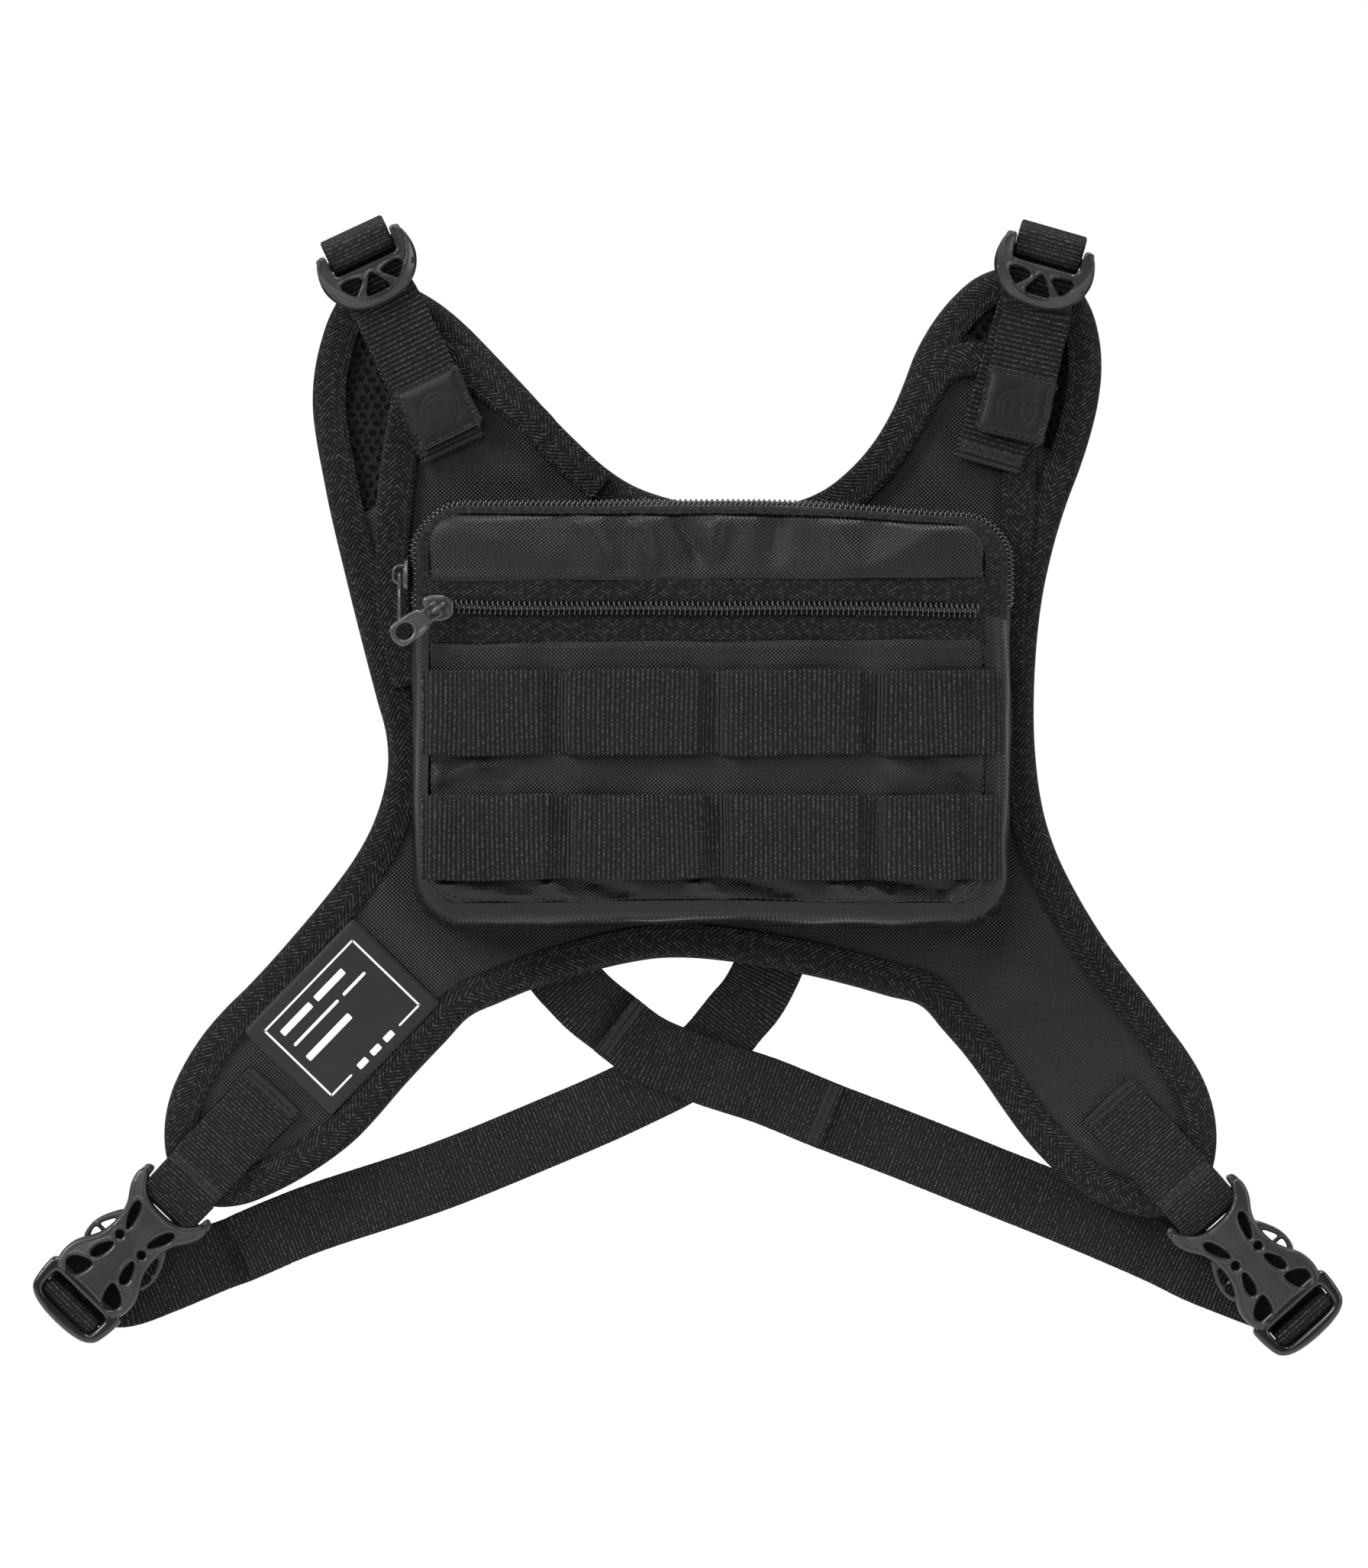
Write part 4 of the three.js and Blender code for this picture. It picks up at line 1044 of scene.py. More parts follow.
def make_panel_binding(side, route, lifted):
    """A folded tape on the panel's own edge, over the shoulder; `lifted` is where it lies on the pad's."""
    width, thick = 12.4, 2.6
    z = OVER_TRIM_Z + 0.1
    on_top = {tuple(p) for p in lifted}
    line = curve([(x, y, z + (1.0 if (x, y) in on_top else 0.0)) for x, y in route], 1.5)
    along = directions(line)
    across = np.cross(OUT, along)
    turn = np.linspace(0, TURN, 28, endpoint=False)
    cut = np.column_stack([
        width / 2 * np.sign(np.cos(turn)) * np.abs(np.cos(turn)) ** 0.55,
        thick / 2 * np.sign(np.sin(turn)) * np.abs(np.sin(turn)) ** 0.75,
    ])
    run = np.arange(len(line)) * 1.5
    pucker = 0.18 * np.sin(run / 6.8 * TURN) + 0.3 * cloud(line, 16.0, 8.0)
    points = (
        line[:, None, :] + across[:, None, :] * cut[None, :, :1] + OUT * cut[None, :, 1:]
        + OUT * (pucker[:, None] * (cut[None, :, 1] > 0))[:, :, None]
    ).reshape(-1, 3)
    uv = np.stack(np.broadcast_arrays(cut[None, :, 0] + 20, run[:, None]), axis=2).reshape(-1, 2)
    piece = piece_from(f"panel_edge_{side}", points, capped_faces(len(line), len(cut)), uv)
    bmesh_outward(piece)
    done(piece, BINDING, replaces=[f"panel_binding_{side}"])
    thread = line - across * (width / 2 - 2.2) + OUT * 1.25
    done(seam(f"panel_stitches_{side}", thread), THREAD)


LABEL = angled((-124.2, -84.6), 46)
LABEL_LONG, LABEL_WIDE = 57.0, 44.0


def box_loop(x0, x1, y0, y1, radius=0.6):
    return rounded_rectangle(x0, x1, y0, y1, radius, steps=3)


def flat_bar(name, local, x0, x1, y0, y1, z, high, step):
    loop = spaced(box_loop(x0, x1, y0, y1, 0.3), step * 0.6, closed=True)
    return plate(name, [loop], step, face(z + high, high * 0.5), face(z), local, relax=2)


def make_label():
    z = OVER_TRIM_Z
    long, wide = LABEL_LONG / 2, LABEL_WIDE / 2
    loop = spaced(box_loop(-long, long, -wide, wide), 0.8, closed=True)

    def top(x, y, d):
        wave_up = 0.18 * cloud(np.column_stack([x, y]), 13.0, 5.0)
        return z + 0.65 + wave_up - edge_drop(d, 0.4)

    label = plate("label", [loop], 1.0, top, face(z - 0.9), LABEL)
    done(label, SATIN, replaces=["woven_label"])
    line = 0.75
    x0, x1, y0, y1 = -23.5, 23.0, -17.5, 17.0
    high = 0.34
    at = z + 0.62
    bars = [
        (x0, x1, y1 - line, y1), (x0, x0 + line, y0, y1), (x1 - line, x1, y0, y1),
        (x0, -12.5, y0, y0 + line), (12.0, x1, y0, y0 + line),
        (-19.5, -4.5, 10.0, 12.6), (-2.0, 12.5, 10.0, 12.6),
        (-19.5, 3.5, 4.6, 5.8), (6.0, 17.5, 4.6, 5.8),
        (-19.5, 2.5, -3.0, -0.4),
        (-9.0, -4.6, y0 - 0.8, y0 + 1.6), (-2.2, 2.2, y0 - 0.8, y0 + 1.6), (4.6, 9.0, y0 - 0.8, y0 + 1.6),
    ]
    made = [flat_bar(f"bar{i}", LABEL, *bar, at, high, 0.5) for i, bar in enumerate(bars)]
    done(joined("label_frame", made), WHITE)
    in_long, in_wide = long - 1.4, wide - 1.4
    along = np.linspace(-long + 1, long - 1, 30)
    over = np.linspace(-wide + 1, wide - 1, 30)
    sides = [[(s, t, at) for s in along] for t in (-in_wide, in_wide)]
    sides += [[(s, t, at) for t in over] for s in (-in_long, in_long)]
    rows = [seam("row", LABEL.points(side), pitch=1.9, length=1.1, radius=0.16) for side in sides]
    done(joined("label_stitches", rows), THREAD)


# ---- The pouch ----
low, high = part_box("pouch_back_panel")
POUCH_LEFT, POUCH_RIGHT = low.x / MM, high.x / MM
POUCH_BOTTOM, POUCH_TOP = low.z / MM, high.z / MM
POUCH_RADIUS = 19.0
SHOULDER_IN = 2.4
GUSSET_BACK, GUSSET_FRONT = level("pouch_gusset")
BAND_BACK, BAND_FRONT = level("main_zipper_tape")
FRONT_Z = level("pouch_front_panel")[1]
# The front panels' rim lies inside the pouch's own.
FRONT_LEFT, FRONT_RIGHT = POUCH_LEFT + 6.4, POUCH_RIGHT - 9.5
FRONT_BOTTOM, FRONT_TOP = POUCH_BOTTOM + 9, POUCH_TOP - 4.8
FRONT_RADIUS = POUCH_RADIUS - 5
ZIP_Y = 0.5 * (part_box("pocket_zipper_coil")[0].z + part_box("pocket_zipper_coil")[1].z) / MM
ZIP_FOOT, ZIP_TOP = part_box("pocket_zipper_tape")[0].z / MM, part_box("pocket_zipper_tape")[1].z / MM
MAIN_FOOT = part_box("main_zipper_tape")[0].z / MM


def pouch_base(inwards):
    return rounded_rectangle(POUCH_LEFT + inwards, POUCH_RIGHT - inwards, POUCH_BOTTOM + inwards,
                             POUCH_TOP - inwards, POUCH_RADIUS - inwards, steps=10)


def front_base(inwards=0.0):
    return rounded_rectangle(FRONT_LEFT + inwards, FRONT_RIGHT - inwards, FRONT_BOTTOM + inwards,
                             FRONT_TOP - inwards, FRONT_RADIUS - inwards, steps=10)


def between(a, b, t):
    return a * (1 - t) + b * t


def densified(rings, step=2.4):
    """Rings with the same corners, all cut into the same even steps as the first one."""
    first = rings[0]
    closed = np.vstack([first, first[:1]])
    lengths = np.linalg.norm(np.diff(closed, axis=0), axis=1)
    counts = np.maximum(1, np.round(lengths / step).astype(int))
    made = []
    for ring in rings:
        ends = np.roll(ring, -1, 0)
        made.append(np.vstack([
            a + (b - a) * np.linspace(0, 1, count, endpoint=False)[:, None]
            for a, b, count in zip(ring, ends, counts)
        ]))
    return made


def wall(name, rings, keep=None, thick=0.9, bumps=None, step=2.4):
    """Cloth that runs round the pouch through rings of flat points, outside first. `keep` picks the part
    that this piece has, by its height on the vest."""
    rings = [np.asarray(r, float) for r in rings]
    plans = densified([r[:, :2] for r in rings], step)
    heights = [np.full(len(plans[0]), r[0, 2]) for r in rings]
    profile = np.stack([np.column_stack([p, z]) for p, z in zip(plans, heights)])
    rows = max(2, int(np.linalg.norm(np.diff(profile[:, 0], axis=0), axis=1).sum() / step))
    t = np.linspace(0, len(rings) - 1, rows + 1)
    i = np.minimum(t.astype(int), len(rings) - 2)
    f = (t - i)[:, None, None]
    grid = profile[i] * (1 - f) + profile[i + 1] * f
    n = grid.shape[1]
    if keep is not None:
        chosen = keep(grid[0][:, 1])
        start = next(k for k in range(n) if chosen[k] and not chosen[k - 1])
        order = [(start + k) % n for k in range(int(chosen.sum()))]
        grid = grid[:, order]
    ahead = np.gradient(grid, axis=1)
    if keep is None:
        ahead[:, 0] = grid[:, 1] - grid[:, -1]
        ahead[:, -1] = grid[:, 0] - grid[:, -2]
    upward = np.gradient(grid, axis=0)
    out = np.cross(ahead, upward)
    out /= np.maximum(np.linalg.norm(out, axis=2, keepdims=True), 1e-9)
    if bumps is not None:
        grid = grid + out * bumps(grid)[:, :, None]
    uv = np.broadcast_arrays(run_of(grid[:, 0])[:, None], run_of(grid[0])[None, :])
    uv = np.stack(uv, axis=2).reshape(-1, 2)
    both = np.vstack([grid.reshape(-1, 3), (grid - out * thick).reshape(-1, 3)])
    size, rows = grid.shape[1], grid.shape[0]
    closed = keep is None
    faces = ring_faces(rows, size, wrap=closed)
    shift = rows * size
    inner = [tuple(shift + v for v in reversed(f)) for f in faces]
    rim = []
    top = (rows - 1) * size
    for j in range(size if closed else size - 1):
        k = (j + 1) % size
        rim.append((k, j, shift + j, shift + k))
        rim.append((top + j, top + k, shift + top + k, shift + top + j))
    if not closed:
        for start in range(0, top, size):
            end = start + size - 1
            rim.append((start, start + size, shift + start + size, shift + start))
            rim.append((end + size, end, shift + end, shift + end + size))
    return piece_from(name, both, faces + inner + rim, np.vstack([uv, uv]))


def ring_at(loop, z):
    return np.column_stack([loop, np.full(len(loop), z)])


def gusset_bumps(grid):
    rows = grid.shape[0]
    flatgrid = grid.reshape(-1, 3)
    waves = cloud(flatgrid * np.array([1, 1, 2.2]), 19.0, 4.0).reshape(grid.shape[:2])
    small = cloud(flatgrid * np.array([1.0, 1.0, 0.5]), 6.0, 7.0).reshape(grid.shape[:2])
    hold = np.sin(np.linspace(0, math.pi, rows))[:, None] ** 0.5
    return (1.3 * waves + 0.35 * small - 0.2) * hold


def make_pouch_walls():
    back = plate(
        "pouch_back", [spaced(pouch_base(0.2), 2, closed=True)], 3.0,
        face(level("pouch_back_panel")[1], 0.5), face(level("pouch_back_panel")[0], 0.5, -1),
    )
    done(back, NYLON, replaces=["pouch_back_panel"])
    gusset = wall(
        "gusset",
        [ring_at(pouch_base(0.1), GUSSET_BACK), ring_at(pouch_base(0.6), GUSSET_BACK + 8),
         ring_at(pouch_base(SHOULDER_IN), GUSSET_FRONT)],
        bumps=gusset_bumps, thick=1.0,
    )
    done(gusset, NYLON, replaces=["pouch_gusset"])
    shoulder = between(pouch_base(SHOULDER_IN), front_base(), 0.35)
    lip = between(pouch_base(SHOULDER_IN), front_base(), 1.15)
    rings = [ring_at(pouch_base(SHOULDER_IN), BAND_BACK), ring_at(pouch_base(SHOULDER_IN - 0.1), BAND_FRONT),
             ring_at(shoulder, FRONT_Z - 4.0), ring_at(lip, FRONT_Z - 2.2)]
    tape = wall("main_zip_tape", rings, keep=lambda y: y > MAIN_FOOT - 3.0, thick=0.8, step=1.6,
                bumps=lambda g: 0.35 * cloud(g.reshape(-1, 3), 11.0, 6.0).reshape(g.shape[:2]))
    done(tape, KNIT, replaces=["main_zipper_tape"])
    band = wall("lower_band", rings, keep=lambda y: y <= MAIN_FOOT, thick=0.8,
                bumps=lambda g: 0.8 * cloud(g.reshape(-1, 3), 15.0, 9.0).reshape(g.shape[:2]))
    done(band, NYLON, replaces=["pouch_lower_band"])


FRONT_FOLDS = [
    # gathers under the top edge
    (-38, 98, -30, 84, 3.2, 1.1), (-17, 97, -14, 82, 2.8, 1.3), (-5, 98, 3, 84, 3.0, -0.9),
    (12, 98, 10, 86, 3.0, 1.0), (34, 97, 32, 86, 4.0, -0.8), (54, 96, 60, 84, 5.0, 0.7),
    (-80, 92, -50, 82, 6.0, 0.6), (86, 92, 70, 80, 6.0, 0.6),
    # pulls between the rows of webbing
    (-92, 2, -70, 8, 2.6, 0.9), (-90, 8, -66, 2, 2.4, -0.4), (80, 4, 106, 8, 4.0, 0.7),
    (104, -4, 92, 6, 3.0, -0.7),
    # creases under the lower row
    (-86, -36, -58, -41, 2.4, 0.9), (-50, -35, -40, -42, 2.4, 1.1), (-32, -36, -20, -41, 2.6, -0.9),
    (4, -36, 14, -42, 2.6, 1.2), (20, -35, 40, -41, 2.4, -0.8), (56, -36, 72, -41, 3.0, 1.1),
    (74, -35, 96, -39, 2.4, -0.7), (-96, -30, -84, -42, 2.0, 0.8), (108, -28, 96, -42, 2.2, 0.8),
]
ROW_BOXES = {end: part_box(f"molle_strap_{end}") for end in ENDS}
ROW_MIDDLES = {end: (low.z + high.z) / 2 / MM for end, (low, high) in ROW_BOXES.items()}


def front_height(x, y, d):
    """The bulge of the pouch's front over its flat face."""
    out = np.minimum(np.minimum(x - FRONT_LEFT, FRONT_RIGHT - x), np.minimum(y - FRONT_BOTTOM, FRONT_TOP - y))
    full = smoothstep(0, 34, out)
    soft = 1.0 * cloud(np.column_stack([x, y * 1.2]), 20.0, 1.0)
    rise = soft + 3.0 * folds(x, y, FRONT_FOLDS) * smoothstep(0.2, 4, d)
    for middle in ROW_MIDDLES.values():
        under = smoothstep(17.0, 15.0, np.abs(y - middle))
        rise = rise - under * np.maximum(rise - 0.5, 0)
    return -1.2 + 1.1 * full + rise - edge_drop(out, 3.4)


def make_front():
    frame_line = spaced(front_base(), 1.6, closed=True)
    top_loop = opened(frame_line[frame_line[:, 1] > ZIP_TOP - 0.6])
    low_loop = opened(frame_line[frame_line[:, 1] < ZIP_FOOT + 0.6])

    def wavy(loop, seed):
        """The panel's edge by the zip, which droops a little at its ends."""
        ends = loop[-1], loop[0]
        x = np.linspace(ends[0][0], ends[1][0], 90)[1:-1]
        y = between(ends[0][1], ends[1][1], (x - x[0]) / (x[-1] - x[0]))
        y = y + 0.7 * np.array([noise.noise(Vector((v / 30.0, seed, 0.0))) for v in x])
        return np.vstack([loop, np.column_stack([x, y])])

    def skin(name, loop, node, edge_y):
        def top(x, y, d):
            near = np.abs(y - edge_y)
            lip = 0.45 * np.exp(-((near - 1.2) / 1.3) ** 2) - 0.35 * np.exp(-((near - 3.4) / 0.7) ** 2)
            return FRONT_Z + 0.35 + front_height(x, y, d) + lip - edge_drop(d, 0.7)

        rim = spaced(loop, 1.0, closed=True)
        piece = plate(name, [rim], 1.9, top, lambda x, y, d: top(x, y, d) - 1.1)
        done(piece, NYLON, replaces=[node])
        wide, tall = loop.max(0) - loop.min(0)
        min(abs(area(loop)), wide * tall) * MM**2
        return top

    top_skin = skin("pouch_top", wavy(top_loop, 3.0), "pouch_top_panel", ZIP_TOP)
    low_skin = skin("pouch_front", wavy(low_loop, 6.0), "pouch_front_panel", ZIP_FOOT)
    rows = []
    for surface, y in ((top_skin, ZIP_TOP + 3.0), (low_skin, ZIP_FOOT - 3.0)):
        x = np.linspace(POUCH_LEFT + 8, POUCH_RIGHT - 11, 200)
        z = surface(x, np.full(200, y), np.full(200, 5.0))
        rows.append(seam("row", np.column_stack([x, np.full(200, y), z + 0.05])))
    rim = spaced(front_base(1.7), 1.0, closed=True)
    rim = opened(rim[rim[:, 1] < ZIP_FOOT - 1])
    z = low_skin(rim[:, 0], rim[:, 1], np.full(len(rim), 1.7))
    rows.append(seam("row", np.column_stack([rim, z + 0.1]), pitch=2.9))
    done(joined("pouch_stitches", rows), THREAD)


def tape_level(x, y):
    out = np.minimum(x - FRONT_LEFT, FRONT_RIGHT - x)
    return FRONT_Z - 1.15 + 0.7 * smoothstep(0, 34, out) - edge_drop(out, 2.0)


def make_pocket_zip():
    left, right = POUCH_LEFT + 6.6, POUCH_RIGHT - 9.7
    loop = spaced(box_loop(left, right, ZIP_FOOT - 1.2, ZIP_TOP + 1.2, 1.0), 1.4, closed=True)

    def top(x, y, d):
        beside = np.abs(y - ZIP_Y)
        return tape_level(x, y) - 0.25 + 0.3 * np.exp(-((beside - 3.6) / 1.0) ** 2) - edge_drop(d, 0.4)

    tape = plate("pocket_zip_tape", [loop], 1.5, top, lambda x, y, d: top(x, y, d) - 0.8)
    done(tape, KNIT, replaces=["pocket_zipper_tape"])
    coil_low, coil_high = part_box("pocket_zipper_coil")
    x = np.linspace(coil_low.x / MM, coil_high.x / MM, 160)
    y = ZIP_Y - 1.0 * smoothstep(60, 106, x) + 0.5 * smoothstep(-60, -82, x)
    line = np.column_stack([x, y, tape_level(x, y) - 0.15])
    side = np.broadcast_to(UP, line.shape)
    out = np.broadcast_to(OUT, line.shape)
    teeth = coil("pocket_coil", line, side, out, half=2.6, height=1.5)
    done(teeth, COIL, replaces=["pocket_zipper_coil"], degrees=70)


def make_main_coil():
    loop = spaced(pouch_base(SHOULDER_IN - 0.4), 1.0, closed=True)
    loop = opened(loop[loop[:, 1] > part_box("main_zipper_coil")[0].z / MM])
    along = directions(loop)
    out = np.column_stack([along[:, 1], -along[:, 0], np.zeros(len(loop))])
    z = (BAND_BACK + BAND_FRONT) / 2 + 0.9 + 0.5 * cloud(loop, 20.0, 2.0)
    line = np.column_stack([loop, z]) - out * 0.2
    side = OUT * 0.86 - out * 0.5
    out = out * 0.86 + OUT * 0.5
    teeth = coil("main_coil", line, side, out, half=2.4, height=1.5)
    done(teeth, COIL, replaces=["main_zipper_coil"], degrees=70)


def make_lining():
    back, front = level("pocket_lining")
    loop = spaced(pouch_base(SHOULDER_IN + 2.0), 2, closed=True)

    def sag(x, y, d):
        return 0.4 * cloud(np.column_stack([x, y]), 30.0, 5.0) * smoothstep(0, 12, d)

    lining = plate("pocket_lining_cloth", [loop], 4.0, lambda x, y, d: front + sag(x, y, d),
                   lambda x, y, d: back + sag(x, y, d))
    done(lining, NYLON, replaces=["pocket_lining"])


ROW_TACKS = {"upper": [-94, -43, 13, 71, 108], "lower": [-94, -41, 14, 71.5, 108]}
ROW_LIFTS = {"upper": [2.2, 3.3, 3.1, 1.9], "lower": [2.3, 3.2, 3.5, 2.1]}


def make_row(end):
    """Webbing tacked down in places, with slack in each loop between them."""
    node = f"molle_strap_{end}"
    low, high = ROW_BOXES[end]
    y = ROW_MIDDLES[end]
    flat_z = level(node)[0] + 0.75
    tacks, lifts = ROW_TACKS[end], ROW_LIFTS[end]
    route = [(low.x / MM + 1.6, flat_z - 4.4), (low.x / MM + 3.2, flat_z - 1.6), (tacks[0], flat_z - 0.2)]
    for a, b, lift in zip(tacks, tacks[1:], lifts):
        loop = [(a + 1.3, 0.2), (a + 3.0, 0.85), (a + 6.5, 1.1), (a + 15, 1), ((a + b) / 2 + 4, 0.9),
                (b - 10, 0.85), (b - 7.4, 0.35)]
        route += [(x, flat_z + lift * part) for x, part in loop]
        route += [(b - 4.6, flat_z - 0.3), (b, flat_z - 0.2)]
    route += [(high.x / MM - 4.2, flat_z - 1.4), (high.x / MM - 2.0, flat_z - 4.6)]
    wander = [0.5 * noise.noise(Vector((x / 32.0, 2.0 if end == "upper" else 5.0, 0.0))) for x, _ in route]
    stations = [((x, y + dy * 1.6, z), UP) for (x, z), dy in zip(route, wander)]
    piece = strap(f"webbing_row_{end}", stations, high.z / MM - low.z / MM, 1.4, pitch=1.74, rib=0.2)
    done(piece, WEB_ROW, replaces=[node])
    length_of(stations)
    half, tack_z = (high.z - low.z) / 2 / MM - 0.8, flat_z + 0.85
    made = [bar_tack("tack", (x, y - half, tack_z), (x, y + half, tack_z), rows=2, depth=1.2)
            for x in tacks[1:-1]]
    done(joined(f"row_tacks_{end}", made), THREAD)


POUCH_PIECES = [
    "pouch_back", "gusset", "lower_band", "main_zip_tape", "main_coil", "pouch_top", "pouch_front",
    "pouch_stitches", "pocket_lining_cloth", "pocket_zip_tape", "pocket_coil", "webbing_row_upper",
    "webbing_row_lower", "row_tacks_upper", "row_tacks_lower",
]


def slacken(names):
    """Pulls the pouch's straight outline into its worn shape: lower at the top's ends, uneven at the foot."""
    def change(x, y):
        low = 3.8 * smoothstep(22, 104, x) ** 1.4 * smoothstep(68, 100, y)
        low = low + 2.0 * smoothstep(-84, -102, x) * smoothstep(86, 102, y)
        foot = smoothstep(-30, -54, y)
        rise = 1.8 * np.exp(-((x - 4) / 36.0) ** 2) * foot
        sway = 0.7 * cloud(np.column_stack([x, y]), 34.0, 9.0)
        return x + sway, y - low + rise + 0.6 * sway

    for name in names:
        mesh = bpy.data.objects[name].data
        points = np.empty(len(mesh.vertices) * 3)
        mesh.vertices.foreach_get("co", points)
        points = points.reshape(-1, 3)
        x, y = change(points[:, 0] / MM, points[:, 2] / MM)
        points[:, 0], points[:, 2] = x * MM, y * MM
        mesh.vertices.foreach_set("co", points.ravel())
        mesh.update()


# ---- Zip sliders ----
def turned(points, middle, turn):
    c, s = math.cos(turn), math.sin(turn)
    points = np.asarray(points, float)
    return np.column_stack([points[:, 0] * c - points[:, 1] * s, points[:, 0] * s + points[:, 1] * c,
                            points[:, 2]]) + middle


def moved_mesh(piece, change):
    """Runs `change` over a piece's points in flat millimetres."""
    points = np.array([flat(v.co) for v in piece.data.vertices])
    piece.data.vertices.foreach_set("co", placed(change(points)).ravel())
    piece.data.update()


def tube(name, line, radius, sides=10):
    line = curve(line, 0.5)
    along = directions(line)
    side = np.cross(along, [0.0, 1.0, 0.0])
    side /= np.linalg.norm(side, axis=1, keepdims=True)
    out = np.cross(along, side)
    turns = np.linspace(0, TURN, sides, endpoint=False)
    cut = np.column_stack([np.cos(turns), np.sin(turns)]) * radius
    points = line[:, None] + side[:, None] * cut[None, :, :1] + out[:, None] * cut[None, :, 1:] * 1.25
    piece = piece_from(name, points.reshape(-1, 3), capped_faces(len(line), sides))
    bmesh_outward(piece)
    return piece


def slider_parts(turn):
    """A slider's roof with its side flanges, and its bail, which points along `turn`."""
    half = [(5.5, 0.0), (5.3, 2.4), (2.2, 4.5), (-2.5, 4.7), (-5.2, 3.6), (-5.5, 1.4), (-4.4, 0.0)]

    def top(x, y, d):
        return 1.15 + 0.35 * smoothstep(1.2, 2.6, np.abs(y)) * (x < 2.5) - edge_drop(d, 0.6)

    roof = plate("roof", [mirrored(curve(half, 0.6))], 0.55, top, face(-0.35, 0.3, -1))
    bail = tube("bail", [(-3.0, 0, 0.9), (-3.1, 0, 3.2), (-2.0, 0, 4.7), (0, 0, 5.0), (2.0, 0, 4.7),
                         (3.1, 0, 3.2), (3.0, 0, 0.9)], 0.62)
    moved_mesh(bail, lambda p: turned(p, np.zeros(3), turn))
    return [roof, bail]


def tab_part(length, width):
    eye, neck = 5.2, 3.0
    half = [(-0.65, 2.2), (0.4, neck), (eye + 0.4, neck), (eye + 2.4, width / 2 - 0.3),
            (length - 4, width / 2), (length - 1.2, width / 2 - 1.0), (length, 0.0)]
    half = curve([(-0.65, 0.0), *half], 0.5)
    hole = oval(length - 5.4, 0, 3.5, width / 2 - 1.7)
    slot = spaced(rounded_rectangle(0.9, eye - 0.7, -1.9, 1.9, 0.8, steps=3), 0.5, closed=True)

    def rim(x, y, d):
        return 0.8 - edge_drop(d, 0.45) - 0.16 * smoothstep(1.0, 1.5, d) * (x > eye + 1.5)

    return plate("tab", [mirrored(half), slot, hole], 0.5, rim, lambda x, y, d: -rim(x, y, d))


def make_slider(name, body, tab, at, frame_of, body_turn, tab_turn, length, width):
    """frame_of puts points of the slider's own frame on the vest."""
    runner = joined(f"{name}_runner", slider_parts(tab_turn - body_turn))
    moved_mesh(runner, lambda p: frame_of(turned(p, np.zeros(3), body_turn)) + at)
    bmesh_outward(runner)
    done(runner, METAL, body=body, replaces=[body])
    pull = tab_part(length, width)
    moved_mesh(pull, lambda p: frame_of(turned(p, np.array([0, 0, 2.7]), tab_turn)) + at)
    done(pull, METAL, body=tab, replaces=[tab])


def make_sliders():
    at = np.array([JOINTS["pocket_tab_flip"]["pos_m"][0] / MM, ZIP_Y, level("pocket_slider")[0]])
    make_slider("pocket", "pocket_slider", "pocket_pull_tab", at, lambda p: p, 0.0, math.radians(215),
                length=20.0, width=9.2)
    at = flat(JOINTS["main_tab_flip"]["pos_m"]) + np.array([2.7, 0, 0])

    def lying(p):
        return np.column_stack([-p[:, 2], p[:, 1], p[:, 0]])

    make_slider("main", "main_slider", "main_pull_tab", at, lying, math.pi / 2, -math.pi / 2,
                length=18.0, width=8.0)


# ---- Shoulders ----
ANCHOR_Z = sum(level("anchor_strap_left")) / 2
TAIL_Z = sum(level("strap_tail_left")) / 2
PATCH_BACK, PATCH_FRONT = level("tail_patch_left")
STRAP_WIDE, CORNER_WIDE = 25.0, 24.4
# How far a bar tack stops short of the strap's edges.
TACK_IN = 0.8
SHOULDERS = {
    "left": {
        "lock": LOCKS["left"], "tail": Local((-121.2, 201.7), (0.4384, -0.8988)),
        "patch_foot": 85.0, "anchor_foot": 88.8,
    },
    "right": {
        "lock": LOCKS["right"], "tail": Local((134.8, 201.9), (-0.2181, -0.9759)),
        "patch_foot": 78.5, "anchor_foot": 89.8,
    },
}


def make_anchor(side):
    """The strap from the yoke to the ladder lock, round its bar and down again as the loose tail."""
    place = SHOULDERS[side]
    lock, foot, end = place["lock"], place["anchor_foot"], place["patch_foot"] - 1.0
    turn = lock.stations([
        (foot, ANCHOR_Z), (60, ANCHOR_Z), (38, ANCHOR_Z), (27, ANCHOR_Z), (23.5, LOCK_Z - 2.95),
        *arc(18, LOCK_Z, 2.9, 270, 110), (21, LOCK_Z + 2.6), (25.5, LOCK_Z + 1.9),
    ])
    loose = [(31, 15.7), (38, TAIL_Z + 0.4), (50, TAIL_Z), (end - 10, TAIL_Z), (end, TAIL_Z)]
    route = [*turn, *place["tail"].stations(loose)]
    piece = strap(f"shoulder_strap_{side}", route, STRAP_WIDE, WEB, pitch=1.85, rib=0.24,
                  seed=3.0 if side == "left" else 5.0)
    start, stop = lock.points([[47, 0, ANCHOR_Z], [25.5, 0, ANCHOR_Z]])
    done(piece, WEB_COARSE, body=("root", f"ladder_lock_{side}", start, stop),
         replaces=[f"anchor_strap_{side}", f"strap_tail_{side}", f"lock_webbing_{side}"])
    length_of(route)
    tack = lock.edges(foot - 3.4, ANCHOR_Z + 0.75, STRAP_WIDE / 2 - TACK_IN)
    done(bar_tack(f"anchor_tack_{side}", *tack), THREAD)


